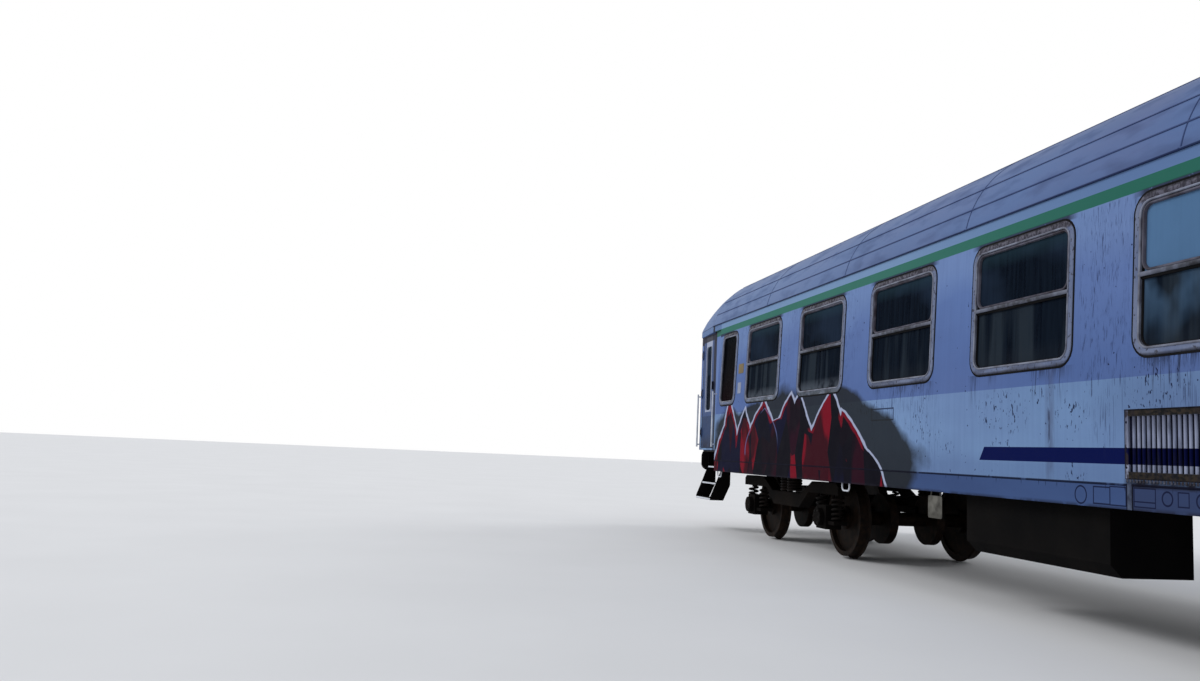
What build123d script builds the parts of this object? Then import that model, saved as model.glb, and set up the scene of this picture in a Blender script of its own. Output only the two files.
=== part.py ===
from build123d import *
import math
import os

# A side-corridor railway passenger coach on two bogies, in millimetres.
# X runs along the coach, Y across it, Z up. The origin is on the floor under its middle,
# and the flange tips of the wheels stand on that floor. A name that ends in _Z is a height
# over that floor. Pieces that lie against each other without touching keep SEAT between them.
SEAT = 0.3

# Body
BODY_LENGTH = 24200
BODY_WIDTH = 2825
LEAN = 0.04
WALL = 60
ROOF_T = 55
FLOOR_T = 60

# Wheels and axles
WHEEL_D = 920
FLANGE_H = 28
FLANGE_W = 34
TREAD_FALL = 3
WHEEL_BACK = 1360
WHEEL_W = 135
RIM_T = 60
WEB_T = 50
WEB_SET = 45
WEB_DISH = 20
HUB_R = 140
HUB_CONE_L = 28
AXLE_R = 82
JOURNAL_R = 65
DISC_R = 300
DISC_T = 100
DISC_Y = 300

# Buffers and headstock
BUFFER_H = 1060
BUFFER_REACH = 150
BUFFER_Y = 875
BUFFER_R = 115
BUFFER_ROOM = 15
BUFFER_FOOT_T = 20
PLUNGER_R = 90
PLUNGER_L = 200
BUFFER_PLATE_W = 600
BUFFER_PLATE_H = 340
BUFFER_PLATE_R = 110
BUFFER_PLATE_T = 35
BUFFER_PLATE_EDGE = 8
HEADSTOCK_IN = 470
HEADSTOCK_T = 80
HEADSTOCK_DROP = 170

# Heights of the body, each over the one before: sill below the floor, waist, windows, gutter, roof
SILL_DROP = 350
WAIST_RISE = 517
WINDOW_RISE = 128
WINDOW_H = 1086
CORNICE_RISE = 206
ROOF_RISE = 863
LINTEL_DROP = 87
SKIRT_H = 166
BEAD_H = 10
BEAD_PROUD = 3

# Roof arch: crown radius, the shoulder arc's turn before it meets the gutter, seams and hood
CROWN_R = 2200
SHOULDER_TURN = 78
SEAM_TURNS = (12, 30, 53.5, 66.5)
SEAM_W = 12
SEAM_PROUD = 5
ROOF_PANEL = 2500
JOINT_W = 10
JOINT_PROUD = 3
GUTTER_W = 14
GUTTER_T = 16
HOOD_L = 900
HOOD_RISE = 263
HOOD_LIP = 13
HOOD_STEPS = (0, 0.4, 0.7, 0.9, 1)

# Windows of one side, the narrow ones at its ends, and the grille that takes air in low in the wall
PITCH = 1950
TOILET_L = 1000
WINDOW_W = 1324
WINDOW_R = 140
NARROW_W = 740
NARROW_IN = 512
FRAME_BAR = 60
FRAME_PROUD = 9
FRAME_DEPTH = 30
FRAME_BEAD_W = 15
FRAME_BEAD_PROUD = 3
TRANSOM_H = 30
TRANSOM_PROUD = 6
SASH_BAR = 22
SASH_SINK = 6
GLASS_T = 8
GLASS_LAP = 18
GRILLE_X = 1065
GRILLE_W = 1300
GRILLE_H = 456
GRILLE_RISE = 32
GRILLE_PROUD = 3
GRILLE_BACK_T = 10
GRILLE_SIDE_BAR = 36
GRILLE_TOP_BAR = 45
GRILLE_LOW_BAR = 49
SLAT_PITCH = 44
SLAT_W = 26
SLAT_SINK = 2
TOOTH_PITCH = 30
TOOTH_W = 16
TOOTH_H = 30

# Vestibule at each end, with a door on each side of it in a tapered recess
VESTIBULE_L = 1343
VESTIBULE_WALL = 55
RECESS_IN = 77.5
CORNER_IN = 150.5
CORNICE_T = 130
DOOR_IN = 520
DOOR_W = 790
DOOR_T = 42
DOOR_GAP = 6
DOOR_DROP = 30
DOOR_GLASS_W = 330
DOOR_GLASS_H = 1040
DOOR_GLASS_DROP = 165
DOOR_GLASS_R = 60
DOOR_RING_W = 26
DOOR_RING_PROUD = 4
HINGE_OUT = 14
HINGE_R = 12
HINGE_L = 90
HINGE_FLAP = 60
HINGES = 3
HINGE_LOW = 260
HINGE_PITCH = 640
DOOR_GRIP_H = 1000
DOOR_GRIP_L = 130
DOOR_GRIP_W = 24
DOOR_GRIP_OUT = 28

# End wall and gangway
END_T = 60
GANGWAY_W = 1010
GANGWAY_DROP = 90
LEAF_T = 32
LEAF_GAP = 6
LEAF_MEET = 3
LEAF_LAP = 12
LEAF_RAIL_H = 50
LEAF_GLASS_W = 240
LEAF_GLASS_H = 370
LEAF_GLASS_Y = 255
LEAF_GLASS_DROP = 280
LEAF_GRIP_Y = 35
LEAF_GRIP_W = 20
LEAF_GRIP_L = 150
LEAF_GRIP_OUT = 40
LEAF_GRIP_H = 800
TUBE_OUT = 150
TUBE_R = 105
TUBE_PROUD = 36
TUBE_DROP = 15
TOP_TUBE_RISE = 120
TOP_TUBE_R = 95
TOP_TUBE_L = 1520
ROLL_RISE = 170
ROLL_R = 70
ROLL_L = 1460
BRIDGE_W = 930
BRIDGE_H = 420
BRIDGE_SHOULDER = 110
BRIDGE_T = 12
BRIDGE_RISE = 22
BRIDGE_OUT = 26
BRIDGE_PIN_R = 12
BRIDGE_PIN_IN = 60
BRACKET_W = 40
LAMP_IN = 202
LAMP_DROP = 220
LAMP_R = 95
LAMP_OUT = 40
LENS_R = 77
LENS_OUT = 11

# Underframe
SOLE_W = 70
SOLE_RISE = 40
SILL_BEAM_Y = 330
SILL_BEAM_W = 40
SILL_BEAM_H = 160
BEARER_W = 60
BEARER_IN = 20
BOLSTER_BEAM_W = 460
BOLSTER_BEAM_H = 130
END_SILL_Y = 520
END_SILL_W = 50
END_SILL_H = 60
END_PLATE_T = 12
END_PLATE_W = 80

# Bogie
BOGIE_IN = 3500
BOGIE_ROOM = 1700
WHEELBASE = 2500
BEAM_Y = 1000
BEAM_T = 150
BEAM_FLAT = 450
BEAM_CRANK = 310
BEAM_REACH = 400
BEAM_NOSE = 60
BEAM_SHOULDER = 150
BEAM_LOW = 60
BEAM_HIGH = 240
BEAM_END_LOW = 270
BEAM_END_HIGH = 410
BEAM_END_H = 100
TRANSOM_X = 330
TRANSOM_W = 160
TRANSOM_LOW = 80
TRANSOM_TOP = 230
BOLSTER_W = 400
BOLSTER_T = 90
BOLSTER_OUT = 60
PIVOT_R = 170
PIVOT_H = 50
BOLSTER_SPRING_X = 120
BOLSTER_SPRING_R = 100
AXLE_SPRING_X = 230
AXLE_SPRING_R = 75
SPRING_TURNS = 4
SPRING_GROOVE = 16
BOX_W = 280
BOX_IN = 90
BOX_OUT = 110
BOX_ARM_L = 640
BOX_ARM_W = 170
BOX_ARM_T = 40
BOX_ARM_DROP = 80
BOX_CAP_R = 105
BOX_CAP_L = 60
JOURNAL_L = 150
JOURNAL_GAP = 0.05
CALIPER_GAP = 12
CALIPER_T = 28
CALIPER_LOW = 60
CALIPER_H = 80
CALIPER_BODY_L = 160
CALIPER_BODY_H = 140
CALIPER_BITE = 120

# Steps and grab rails
TREADS = (457, 700, 960)
TREAD_T = 24
TREAD_D = 215
TREAD_RAKE = 0.3
STEP_IN = 87.5
STEP_ROOM = 12
STEP_SIDE_T = 10
RAIL_R = 14
RAIL_STUB_R = 11
RAIL_OUT = 64
RAIL_CORNER_OUT = 56
RAIL_L = 870
RAIL_RISE = 20
RAIL_STUB_IN = 40
RAIL_DOOR_X = 260
RAIL_CORNER_X = 45

# Rope loops under the sill, by their distance from the side wall's end
LOOP_INS = (110, 4600)
LOOP_W = 180
LOOP_H = 80
LOOP_R = 9
LOOP_BEND = 45

# Draw hook and screw coupling, along the coach and up from the hook's middle
HOOK_T = 64
HOOK = ((0, -45), (190, -45), (300, -75), (340, -20), (330, 70), (285, 75), (280, 10), (235, -5), (215, 55),
        (0, 45))
LINK_X = 175
LINK_T = 40
LINK_Y = 45
LINK_BAR_T = 28
LINK_L = 400
LINK_PIN_L = 120
LINK_PIN_H = 36
LINK_PINS = (40, 235, 420)

# What hangs under the floor: boxes between two cross bearers by bay and side, and reservoirs
EQUIPMENT = ((1, 1), (-2, 1), (0, -1), (-2, -1))
EQUIPMENT_MARGIN = 75
EQUIPMENT_LOW = 420
EQUIPMENT_IN = 122.5
EQUIPMENT_D = 650
EQUIPMENT_CHAMFER = 90
HANGER_IN = 100
HANGER_W = 60
TANK_XS = (-4700, 4400, 5000)
TANK_H = 760
TANK_R = 190
TANK_L = 900
TANK_DISH = 90
STRAP_W = 40

# Inside
CORRIDOR_W = 740
CORRIDOR_WALL_T = 30
DOORWAY_W = 620
DOORWAY_H = 1860
PANE_X = 620
PANE_W = 420
PANE_LOW = 850
PANE_H = 980
PARTITION_T = 40
PARTITION_ROOM = 60
VESTIBULE_DOORWAY_W = 540
VESTIBULE_DOORWAY_H = 1900
BENCH_IN = 70
# Bench outline: distance from the partition and height over the floor
BENCH = ((SEAT, 330), (560, 330), (580, 440), (120, 420), (90, 1250), (SEAT, 1250))
RACK_RISE = 1520
RACK_T = 30
RACK_D = 420
CEILING_T = 30
CEILING_IN = 95

HALF = BODY_LENGTH / 2
HALF_WIDTH = BODY_WIDTH / 2
RAIL_Z = FLANGE_H
AXLE_Z = RAIL_Z + WHEEL_D / 2
BUFFER_Z = RAIL_Z + BUFFER_H
UNDER_Z = BUFFER_Z + BUFFER_R + BUFFER_ROOM
FLOOR_Z = UNDER_Z + FLOOR_T
SILL_Z = FLOOR_Z - SILL_DROP
SKIRT_Z = SILL_Z + SKIRT_H
WAIST_Z = FLOOR_Z + WAIST_RISE
WINDOW_LOW_Z = WAIST_Z + WINDOW_RISE
WINDOW_MID_Z = WINDOW_LOW_Z + WINDOW_H / 2
GUTTER_Z = WINDOW_LOW_Z + WINDOW_H + CORNICE_RISE
ROOF_TOP_Z = GUTTER_Z + ROOF_RISE
LINTEL_Z = GUTTER_Z - LINTEL_DROP
GRILLE_LOW_Z = SKIRT_Z + GRILLE_RISE
GRILLE_HIGH_Z = GRILLE_LOW_Z + GRILLE_H
DOOR_LOW_Z = FLOOR_Z + DOOR_GAP
DOOR_HIGH_Z = LINTEL_Z - DOOR_DROP
DOOR_MID_Z = (DOOR_LOW_Z + DOOR_HIGH_Z) / 2
DOOR_GLASS_Z = DOOR_HIGH_Z - DOOR_GLASS_DROP - DOOR_GLASS_H / 2
GANGWAY_TOP_Z = LINTEL_Z - GANGWAY_DROP
LEAF_GLASS_Z = GANGWAY_TOP_Z - LEAF_GLASS_DROP
TOP_TUBE_Z = GANGWAY_TOP_Z + TOP_TUBE_RISE
BRIDGE_Z = FLOOR_Z + BRIDGE_RISE
BRIDGE_X = HALF + BRIDGE_OUT
SIDE_HALF = HALF - VESTIBULE_L
RECESS_Y = HALF_WIDTH - RECESS_IN
CORNER_Y = HALF_WIDTH - CORNER_IN
END_HALF_WIDTH = CORNER_Y + HOOD_LIP
ROOF_BREAK = HALF - HOOD_L
DOOR_X = HALF - DOOR_IN
NARROW_X = SIDE_HALF - NARROW_IN
HEADSTOCK_X = HALF - HEADSTOCK_IN
HEADSTOCK_Y = BUFFER_Y + BUFFER_R + SEAT
BUFFER_X = HALF + BUFFER_REACH
BOGIE_X = HALF - BOGIE_IN
BOLSTER_LOW_Z = UNDER_Z - BOLSTER_BEAM_H - PIVOT_H - BOLSTER_T
CORRIDOR_Y = HALF_WIDTH - WALL - CORRIDOR_W
TAPER = math.atan2(RECESS_Y - CORNER_Y, VESTIBULE_L)
WINDOWS_PER_SIDE = int(2 * (SIDE_HALF - TOILET_L) / PITCH)
WINDOW_XS = [(i - (WINDOWS_PER_SIDE - 1) / 2) * PITCH for i in range(WINDOWS_PER_SIDE)]
# Openings of one side: centre X and outer width of the frame
SIDE_OPENINGS = [(x, WINDOW_W) for x in WINDOW_XS] + [(-NARROW_X, NARROW_W), (NARROW_X, NARROW_W)]
HINGE_ZS = [FLOOR_Z + HINGE_LOW + i * HINGE_PITCH for i in range(HINGES)]


def half_width(z):
    """Half width of the outer face of the side wall at height z."""
    return HALF_WIDTH - LEAN * max(0, z - WAIST_Z)


def block(x0, x1, y0, y1, z0, z1):
    """Box between two corners."""
    size = Box(abs(x1 - x0), abs(y1 - y0), z1 - z0)
    return Pos((x0 + x1) / 2, (y0 + y1) / 2, (z0 + z1) / 2) * size


def bar_x(x0, x1, y, z, r):
    """Round bar along the coach."""
    return Pos((x0 + x1) / 2, y, z) * Rot(0, 90, 0) * Cylinder(r, x1 - x0)


def bar_y(x, y0, y1, z, r):
    """Round bar across the coach."""
    return Pos(x, (y0 + y1) / 2, z) * Rot(90, 0, 0) * Cylinder(r, abs(y1 - y0))


def both_sides(shape):
    """The shape and its mirror image across the coach."""
    return [shape, mirror(shape, about=Plane.XZ)]


def both_ends(shape):
    """The shape and its mirror image at the other end of the coach."""
    return [shape, mirror(shape, about=Plane.YZ)]


def four_corners(shape):
    """The shape at all four corners of the coach."""
    return [copy for side in both_sides(shape) for copy in both_ends(side)]


def outline(plane, points, amount, both=False):
    """Closed outline of straight lines on a plane, extruded."""
    return extrude(plane * make_face(Polyline(*points, close=True)), amount, both=both)


def fused(shapes):
    """One solid of several that meet."""
    whole = shapes[0]
    for shape in shapes[1:]:
        whole += shape
    return whole


def save(name, shapes):
    """Write one sub-part, with the solids that make it up."""
    solids = [s for shape in shapes for s in shape.solids()]
    export_step(Compound(solids), os.path.join("parts", name + ".step"))


def wall_plane(x, z):
    """Plane in the leaning outer face of the left wall, x along the coach reversed, y up the wall."""
    lean = math.atan(LEAN)
    return Plane(origin=(x, half_width(z), z), x_dir=(-1, 0, 0), z_dir=(0, math.cos(lean), math.sin(lean)))


def arch(half, top_z, crown_r):
    """Shoulder arc of a roof arch: its centre across the coach, its height, its radius, its first angle."""
    turn = math.radians(SHOULDER_TURN)
    s, c = math.sin(turn), math.cos(turn)
    k = GUTTER_Z - top_z + crown_r
    r = (crown_r ** 2 - half ** 2 - k ** 2) / (2 * (crown_r - half * s - k * c))
    start = math.asin((half - r * s) / (crown_r - r))
    y = (crown_r - r) * math.sin(start)
    return y, top_z - crown_r + (crown_r - r) * math.cos(start), r, start


def arch_face(half, top_z, crown_r):
    """Face of a roof arch: a crown arc between two tangent shoulder arcs, over a straight line."""
    y, z, r, start = arch(half, top_z, crown_r)
    turn = math.radians(SHOULDER_TURN)
    low, mid, high = [(y + r * math.sin(a), z + r * math.cos(a)) for a in (turn, (turn + start) / 2, start)]
    low2, mid2, high2 = [(-p[0], p[1]) for p in (low, mid, high)]
    edges = [Line(low2, low), ThreePointArc(low, mid, high), ThreePointArc(high, (0, top_z), high2),
             ThreePointArc(high2, mid2, low2)]
    return make_face(edges)


def roof_point(angle):
    """Place across and height of the roof's outer face where its normal leans by an angle."""
    y, z, r, start = arch(half_width(GUTTER_Z), ROOF_TOP_Z, CROWN_R)
    if angle < start:
        y, z, r = 0, ROOF_TOP_Z - CROWN_R, CROWN_R
    return y + r * math.sin(angle), z + r * math.cos(angle)


def side_wall():
    """One side wall between the door recesses, with its skirt bead, window holes and grille pocket."""
    bead = HALF_WIDTH + BEAD_PROUD
    points = [(HALF_WIDTH, SILL_Z), (HALF_WIDTH, SKIRT_Z - BEAD_H), (bead, SKIRT_Z - BEAD_H + BEAD_PROUD),
              (bead, SKIRT_Z - BEAD_PROUD), (HALF_WIDTH, SKIRT_Z), (HALF_WIDTH, WAIST_Z),
              (half_width(GUTTER_Z), GUTTER_Z), (half_width(GUTTER_Z) - WALL, GUTTER_Z),
              (HALF_WIDTH - WALL, WAIST_Z), (HALF_WIDTH - WALL, SILL_Z)]
    wall = outline(Plane.YZ, points, SIDE_HALF, both=True)
    for x, width in SIDE_OPENINGS:
        hole = wall_plane(x, WINDOW_MID_Z) * RectangleRounded(width, WINDOW_H, WINDOW_R)
        wall -= extrude(hole, 2 * WALL, both=True)
    wall -= block(GRILLE_X - GRILLE_W / 2, GRILLE_X + GRILLE_W / 2, HALF_WIDTH - WALL / 2, HALF_WIDTH,
                  GRILLE_LOW_Z, GRILLE_HIGH_Z)
    return wall


def window_frames():
    """Beaded frame of every window of one side; the large ones have a transom and an upper sash."""
    frames = []
    bead_w = 2 * FRAME_BEAD_W
    for x, width in SIDE_OPENINGS:
        clear_w, clear_h = width - 2 * FRAME_BAR, WINDOW_H - 2 * FRAME_BAR
        back = wall_plane(x, WINDOW_MID_Z).offset(FRAME_PROUD - FRAME_DEPTH)
        clear = RectangleRounded(clear_w, clear_h, WINDOW_R - FRAME_BAR)
        bead = RectangleRounded(clear_w + bead_w, clear_h + bead_w, WINDOW_R - FRAME_BAR + FRAME_BEAD_W)
        frame = extrude(back * (RectangleRounded(width, WINDOW_H, WINDOW_R) - clear), FRAME_DEPTH)
        frame += extrude(back * (bead - clear), FRAME_DEPTH + FRAME_BEAD_PROUD)
        if width == WINDOW_W:
            frame += extrude(back * Rectangle(clear_w + bead_w, TRANSOM_H), FRAME_DEPTH + TRANSOM_PROUD)
            sash_h = (clear_h - TRANSOM_H) / 2
            sash = Rectangle(clear_w + bead_w, sash_h + TRANSOM_H)
            sash -= Rectangle(clear_w - 2 * SASH_BAR, sash_h - 2 * SASH_BAR)
            frame += extrude(back * Pos(0, (sash_h + TRANSOM_H) / 2, 0) * sash, FRAME_DEPTH - SASH_SINK)
        frames.append(frame)
    return frames


def window_glass():
    """Pane in every window frame of one side, behind its transom."""
    panes = []
    for x, width in SIDE_OPENINGS:
        plane = wall_plane(x, WINDOW_MID_Z).offset(FRAME_PROUD - FRAME_DEPTH - GLASS_T)
        hidden = 2 * (FRAME_BAR - GLASS_LAP)
        pane = RectangleRounded(width - hidden, WINDOW_H - hidden, WINDOW_R - hidden / 2)
        panes.append(extrude(plane * pane, GLASS_T))
    return panes


def air_grille():
    """Air intake: half-round upright slats on a back plate in a frame, with a row of teeth below."""
    out = HALF_WIDTH + GRILLE_PROUD
    back = HALF_WIDTH - WALL / 2
    x0, x1 = GRILLE_X - GRILLE_W / 2, GRILLE_X + GRILLE_W / 2
    low, high = GRILLE_LOW_Z + GRILLE_LOW_BAR, GRILLE_HIGH_Z - GRILLE_TOP_BAR
    grille = block(x0, x1, back, out, GRILLE_LOW_Z, GRILLE_HIGH_Z)
    grille -= block(x0 + GRILLE_SIDE_BAR, x1 - GRILLE_SIDE_BAR, back + GRILLE_BACK_T, out, low, high)
    count = int((GRILLE_W - 2 * GRILLE_SIDE_BAR) // SLAT_PITCH)
    r = SLAT_W / 2
    crest = out - SLAT_SINK
    for i in range(count):
        x = GRILLE_X + (i - (count - 1) / 2) * SLAT_PITCH
        face = make_face([Line((x - r, back), (x + r, back)), Line((x + r, back), (x + r, crest - r)),
                          ThreePointArc((x + r, crest - r), (x, crest), (x - r, crest - r)),
                          Line((x - r, crest - r), (x - r, back))])
        grille += extrude(Plane.XY.offset(low) * face, high - low)
    teeth = int(GRILLE_W // TOOTH_PITCH)
    for i in range(teeth):
        x = GRILLE_X + (i - (teeth - 1) / 2) * TOOTH_PITCH
        grille += block(x - TOOTH_W / 2, x + TOOTH_W / 2, HALF_WIDTH + SEAT, out,
                        GRILLE_LOW_Z - TOOTH_H + BEAD_H, GRILLE_LOW_Z + BEAD_H)
    return grille


def taper_y(x):
    """Outer face of the tapered vestibule wall at a place along the coach."""
    return RECESS_Y - (x - SIDE_HALF) * math.tan(TAPER)


def door_plane(z):
    """Plane in the tapered wall at the left door's hinge edge: x towards the coach's middle, y up."""
    x = DOOR_X + DOOR_W / 2 + DOOR_GAP
    along = (-math.cos(TAPER), math.sin(TAPER), 0)
    out = (math.sin(TAPER), math.cos(TAPER), 0)
    return Plane(origin=(x, taper_y(x), z), x_dir=along, z_dir=out)


def door_lugs():
    """Hinge lugs on the corner post, above and below each knuckle of the left door."""
    lugs = []
    high = HINGE_L / 3
    for z in HINGE_ZS:
        for sign in (-1, 1):
            plane = door_plane(z + sign * (HINGE_L / 2 + SEAT + high / 2))
            pin = plane * Pos(-DOOR_GAP / 2, 0, HINGE_OUT) * Rot(90, 0, 0) * Cylinder(HINGE_R, high)
            pad_w = HINGE_FLAP - 2 * DOOR_GAP
            pad = plane * Pos(-(DOOR_GAP + pad_w) / 2, 0, HINGE_OUT / 2) * Box(pad_w, high, HINGE_OUT)
            lugs.append(pin + pad)
    return lugs


def vestibule_end():
    """End wall with both tapered side walls and their doorways, the cornice, lugs and the leaves' rail."""
    inner = VESTIBULE_WALL
    ring = [(SIDE_HALF, RECESS_Y), (HALF, CORNER_Y), (HALF, -CORNER_Y), (SIDE_HALF, -RECESS_Y)]
    inside = [(SIDE_HALF, RECESS_Y - inner), (HALF - END_T, CORNER_Y - inner),
              (HALF - END_T, inner - CORNER_Y), (SIDE_HALF, inner - RECESS_Y)]
    base = Plane.XY.offset(UNDER_Z + FLOOR_T / 2)
    high = LINTEL_Z - UNDER_Z - FLOOR_T / 2
    end = outline(base, ring, high) - outline(base, inside, high)
    gutter = half_width(GUTTER_Z)
    shelf = gutter - CORNICE_T
    cornice = [(SIDE_HALF, gutter), (ROOF_BREAK, gutter), (HALF, END_HALF_WIDTH), (HALF, -END_HALF_WIDTH),
               (ROOF_BREAK, -gutter), (SIDE_HALF, -gutter)]
    hollow = [(SIDE_HALF, shelf), (ROOF_BREAK, shelf), (HALF - END_T, CORNER_Y - inner),
              (HALF - END_T, inner - CORNER_Y), (ROOF_BREAK, -shelf), (SIDE_HALF, -shelf)]
    over = Plane.XY.offset(LINTEL_Z)
    end += outline(over, cornice, LINTEL_DROP) - outline(over, hollow, LINTEL_DROP)
    doorway = Rectangle(DOOR_W + 2 * DOOR_GAP, DOOR_HIGH_Z - DOOR_LOW_Z + 2 * DOOR_GAP)
    hole = extrude(door_plane(DOOR_MID_Z) * Pos(DOOR_W / 2, 0, 0) * doorway, 2 * inner, both=True)
    for cut in both_sides(hole):
        end -= cut
    end -= block(HALF - 2 * END_T, HALF + END_T, -GANGWAY_W / 2, GANGWAY_W / 2, FLOOR_Z, GANGWAY_TOP_Z)
    for lug in door_lugs() + bridge_brackets():
        for copy in both_sides(lug):
            end += copy
    rail_z = GANGWAY_TOP_Z + LEAF_LAP
    back = HALF - END_T
    return end + block(back - END_T, back, -GANGWAY_W, GANGWAY_W, rail_z, rail_z + LEAF_RAIL_H)


def side_door():
    """Left door leaf at the far end with its window hole and surround, hinge knuckles and grip."""
    middle = DOOR_GAP / 2 + DOOR_W / 2
    plane = door_plane(DOOR_MID_Z)
    leaf = plane * Pos(middle, 0, -DOOR_T / 2) * Box(DOOR_W, DOOR_HIGH_Z - DOOR_LOW_Z, DOOR_T)
    glass_at = plane * Pos(middle, DOOR_GLASS_Z - DOOR_MID_Z, 0)
    wide = 2 * DOOR_RING_W
    ring = RectangleRounded(DOOR_GLASS_W + wide, DOOR_GLASS_H + wide, DOOR_GLASS_R + DOOR_RING_W)
    leaf += extrude(glass_at * ring, DOOR_RING_PROUD)
    pane = RectangleRounded(DOOR_GLASS_W, DOOR_GLASS_H, DOOR_GLASS_R)
    leaf -= extrude(glass_at * pane, 2 * DOOR_T, both=True)
    for z in HINGE_ZS:
        at = door_plane(z)
        knuckle = at * Pos(-DOOR_GAP / 2, 0, HINGE_OUT) * Rot(90, 0, 0) * Cylinder(HINGE_R, HINGE_L)
        flap = at * Pos(HINGE_FLAP / 2, 0, HINGE_OUT / 2) * Box(HINGE_FLAP, HINGE_L, HINGE_OUT)
        leaf += knuckle + (flap - knuckle)
    grip = door_plane(FLOOR_Z + DOOR_GRIP_H) * Pos(DOOR_W - 3 * DOOR_GRIP_W, 0, DOOR_GRIP_OUT / 2)
    return leaf + grip * Box(DOOR_GRIP_W, DOOR_GRIP_L, DOOR_GRIP_OUT)


def side_door_glass():
    """Pane in the left door leaf."""
    mid = door_plane(DOOR_GLASS_Z) * Pos(DOOR_GAP / 2 + DOOR_W / 2, 0, -(DOOR_T + GLASS_T) / 2)
    return extrude(mid * RectangleRounded(DOOR_GLASS_W, DOOR_GLASS_H, DOOR_GLASS_R), GLASS_T)


def leaf_pane(x0, x1):
    """Block of the left sliding leaf's pane between two places along the coach."""
    y, z = LEAF_GLASS_W / 2, LEAF_GLASS_H / 2
    return block(x0, x1, LEAF_GLASS_Y - y, LEAF_GLASS_Y + y, LEAF_GLASS_Z - z, LEAF_GLASS_Z + z)


def gangway_leaf():
    """Left sliding leaf behind the end wall, with its pane hole and grip."""
    face = HALF - END_T - LEAF_GAP
    top = GANGWAY_TOP_Z + LEAF_LAP - SEAT
    leaf = block(face - LEAF_T, face, LEAF_MEET, GANGWAY_W / 2 + LEAF_LAP, FLOOR_Z + SEAT, top)
    leaf -= leaf_pane(face - LEAF_T, face)
    grip = Pos(face + LEAF_GRIP_OUT / 2, LEAF_GRIP_Y, FLOOR_Z + LEAF_GRIP_H + LEAF_GRIP_L / 2)
    return leaf + grip * Box(LEAF_GRIP_OUT, LEAF_GRIP_W, LEAF_GRIP_L)


def gangway_glass():
    """Pane of the left sliding leaf."""
    middle = HALF - END_T - LEAF_GAP - LEAF_T / 2
    return leaf_pane(middle - GLASS_T / 2, middle + GLASS_T / 2)


def gangway_tubes():
    """Rubber tubes round the gangway, two upright and one across, and the roll of the hood above."""
    x = HALF + TUBE_PROUD
    y = GANGWAY_W / 2 + TUBE_OUT
    low, high = FLOOR_Z - TUBE_DROP, TOP_TUBE_Z
    posts = [Pos(x, side * y, (low + high) / 2) * Cylinder(TUBE_R, high - low) for side in (-1, 1)]
    bar = bar_y(x, -TOP_TUBE_L / 2, TOP_TUBE_L / 2, TOP_TUBE_Z, TOP_TUBE_R)
    roll = bar_y(HALF, -ROLL_L / 2, ROLL_L / 2, TOP_TUBE_Z + ROLL_RISE, ROLL_R)
    behind = block(HALF - 2 * TUBE_R, HALF, -HALF_WIDTH, HALF_WIDTH, 0, ROOF_TOP_Z)
    return [fused(posts + [bar]) - behind, roll - behind]


def bridge_plate():
    """Arc-topped plate that folds down between two coaches, stood up against the door."""
    half = BRIDGE_W / 2
    low, high = BRIDGE_Z, BRIDGE_Z + BRIDGE_H
    shoulder = high - BRIDGE_SHOULDER
    face = make_face([Line((-half, low), (half, low)), Line((half, low), (half, shoulder)),
                      ThreePointArc((half, shoulder), (0, high), (-half, shoulder)),
                      Line((-half, shoulder), (-half, low))])
    pin = half - BRIDGE_PIN_IN
    plate = extrude(Plane.YZ.offset(BRIDGE_X) * face, BRIDGE_T)
    return plate + bar_y(BRIDGE_X + BRIDGE_T / 2, -pin, pin, BRIDGE_Z, BRIDGE_PIN_R)


def bridge_brackets():
    """Bracket on the end wall that carries the plate's hinge at its left end."""
    y = BRIDGE_W / 2 + SEAT
    x = BRIDGE_X + BRIDGE_T / 2
    boss = bar_y(x, y, y + BRACKET_W, BRIDGE_Z, BRIDGE_PIN_R)
    return [boss + block(HALF, x, y, y + BRACKET_W, BRIDGE_Z - BRIDGE_PIN_R, BRIDGE_Z + BRIDGE_PIN_R)]


def end_lamps():
    """Two round lamps on each end wall."""
    y, z = CORNER_Y - LAMP_IN, LINTEL_Z - LAMP_DROP
    lamp = bar_x(HALF, HALF + LAMP_OUT, y, z, LAMP_R)
    return four_corners(lamp + bar_x(HALF + LAMP_OUT, HALF + LAMP_OUT + LENS_OUT, y, z, LENS_R))


def floor_slab():
    """Floor between the walls, tapered with the vestibules at both ends."""
    y = HALF_WIDTH - WALL
    recess = RECESS_Y - VESTIBULE_WALL
    right = [(SIDE_HALF, y), (SIDE_HALF, recess), (HALF - END_T, CORNER_Y - VESTIBULE_WALL)]
    left = [(-x, y) for x, y in reversed(right)]
    upper = left + right
    return outline(Plane.XY.offset(UNDER_Z), upper + [(x, -y) for x, y in reversed(upper)], FLOOR_T)


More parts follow.
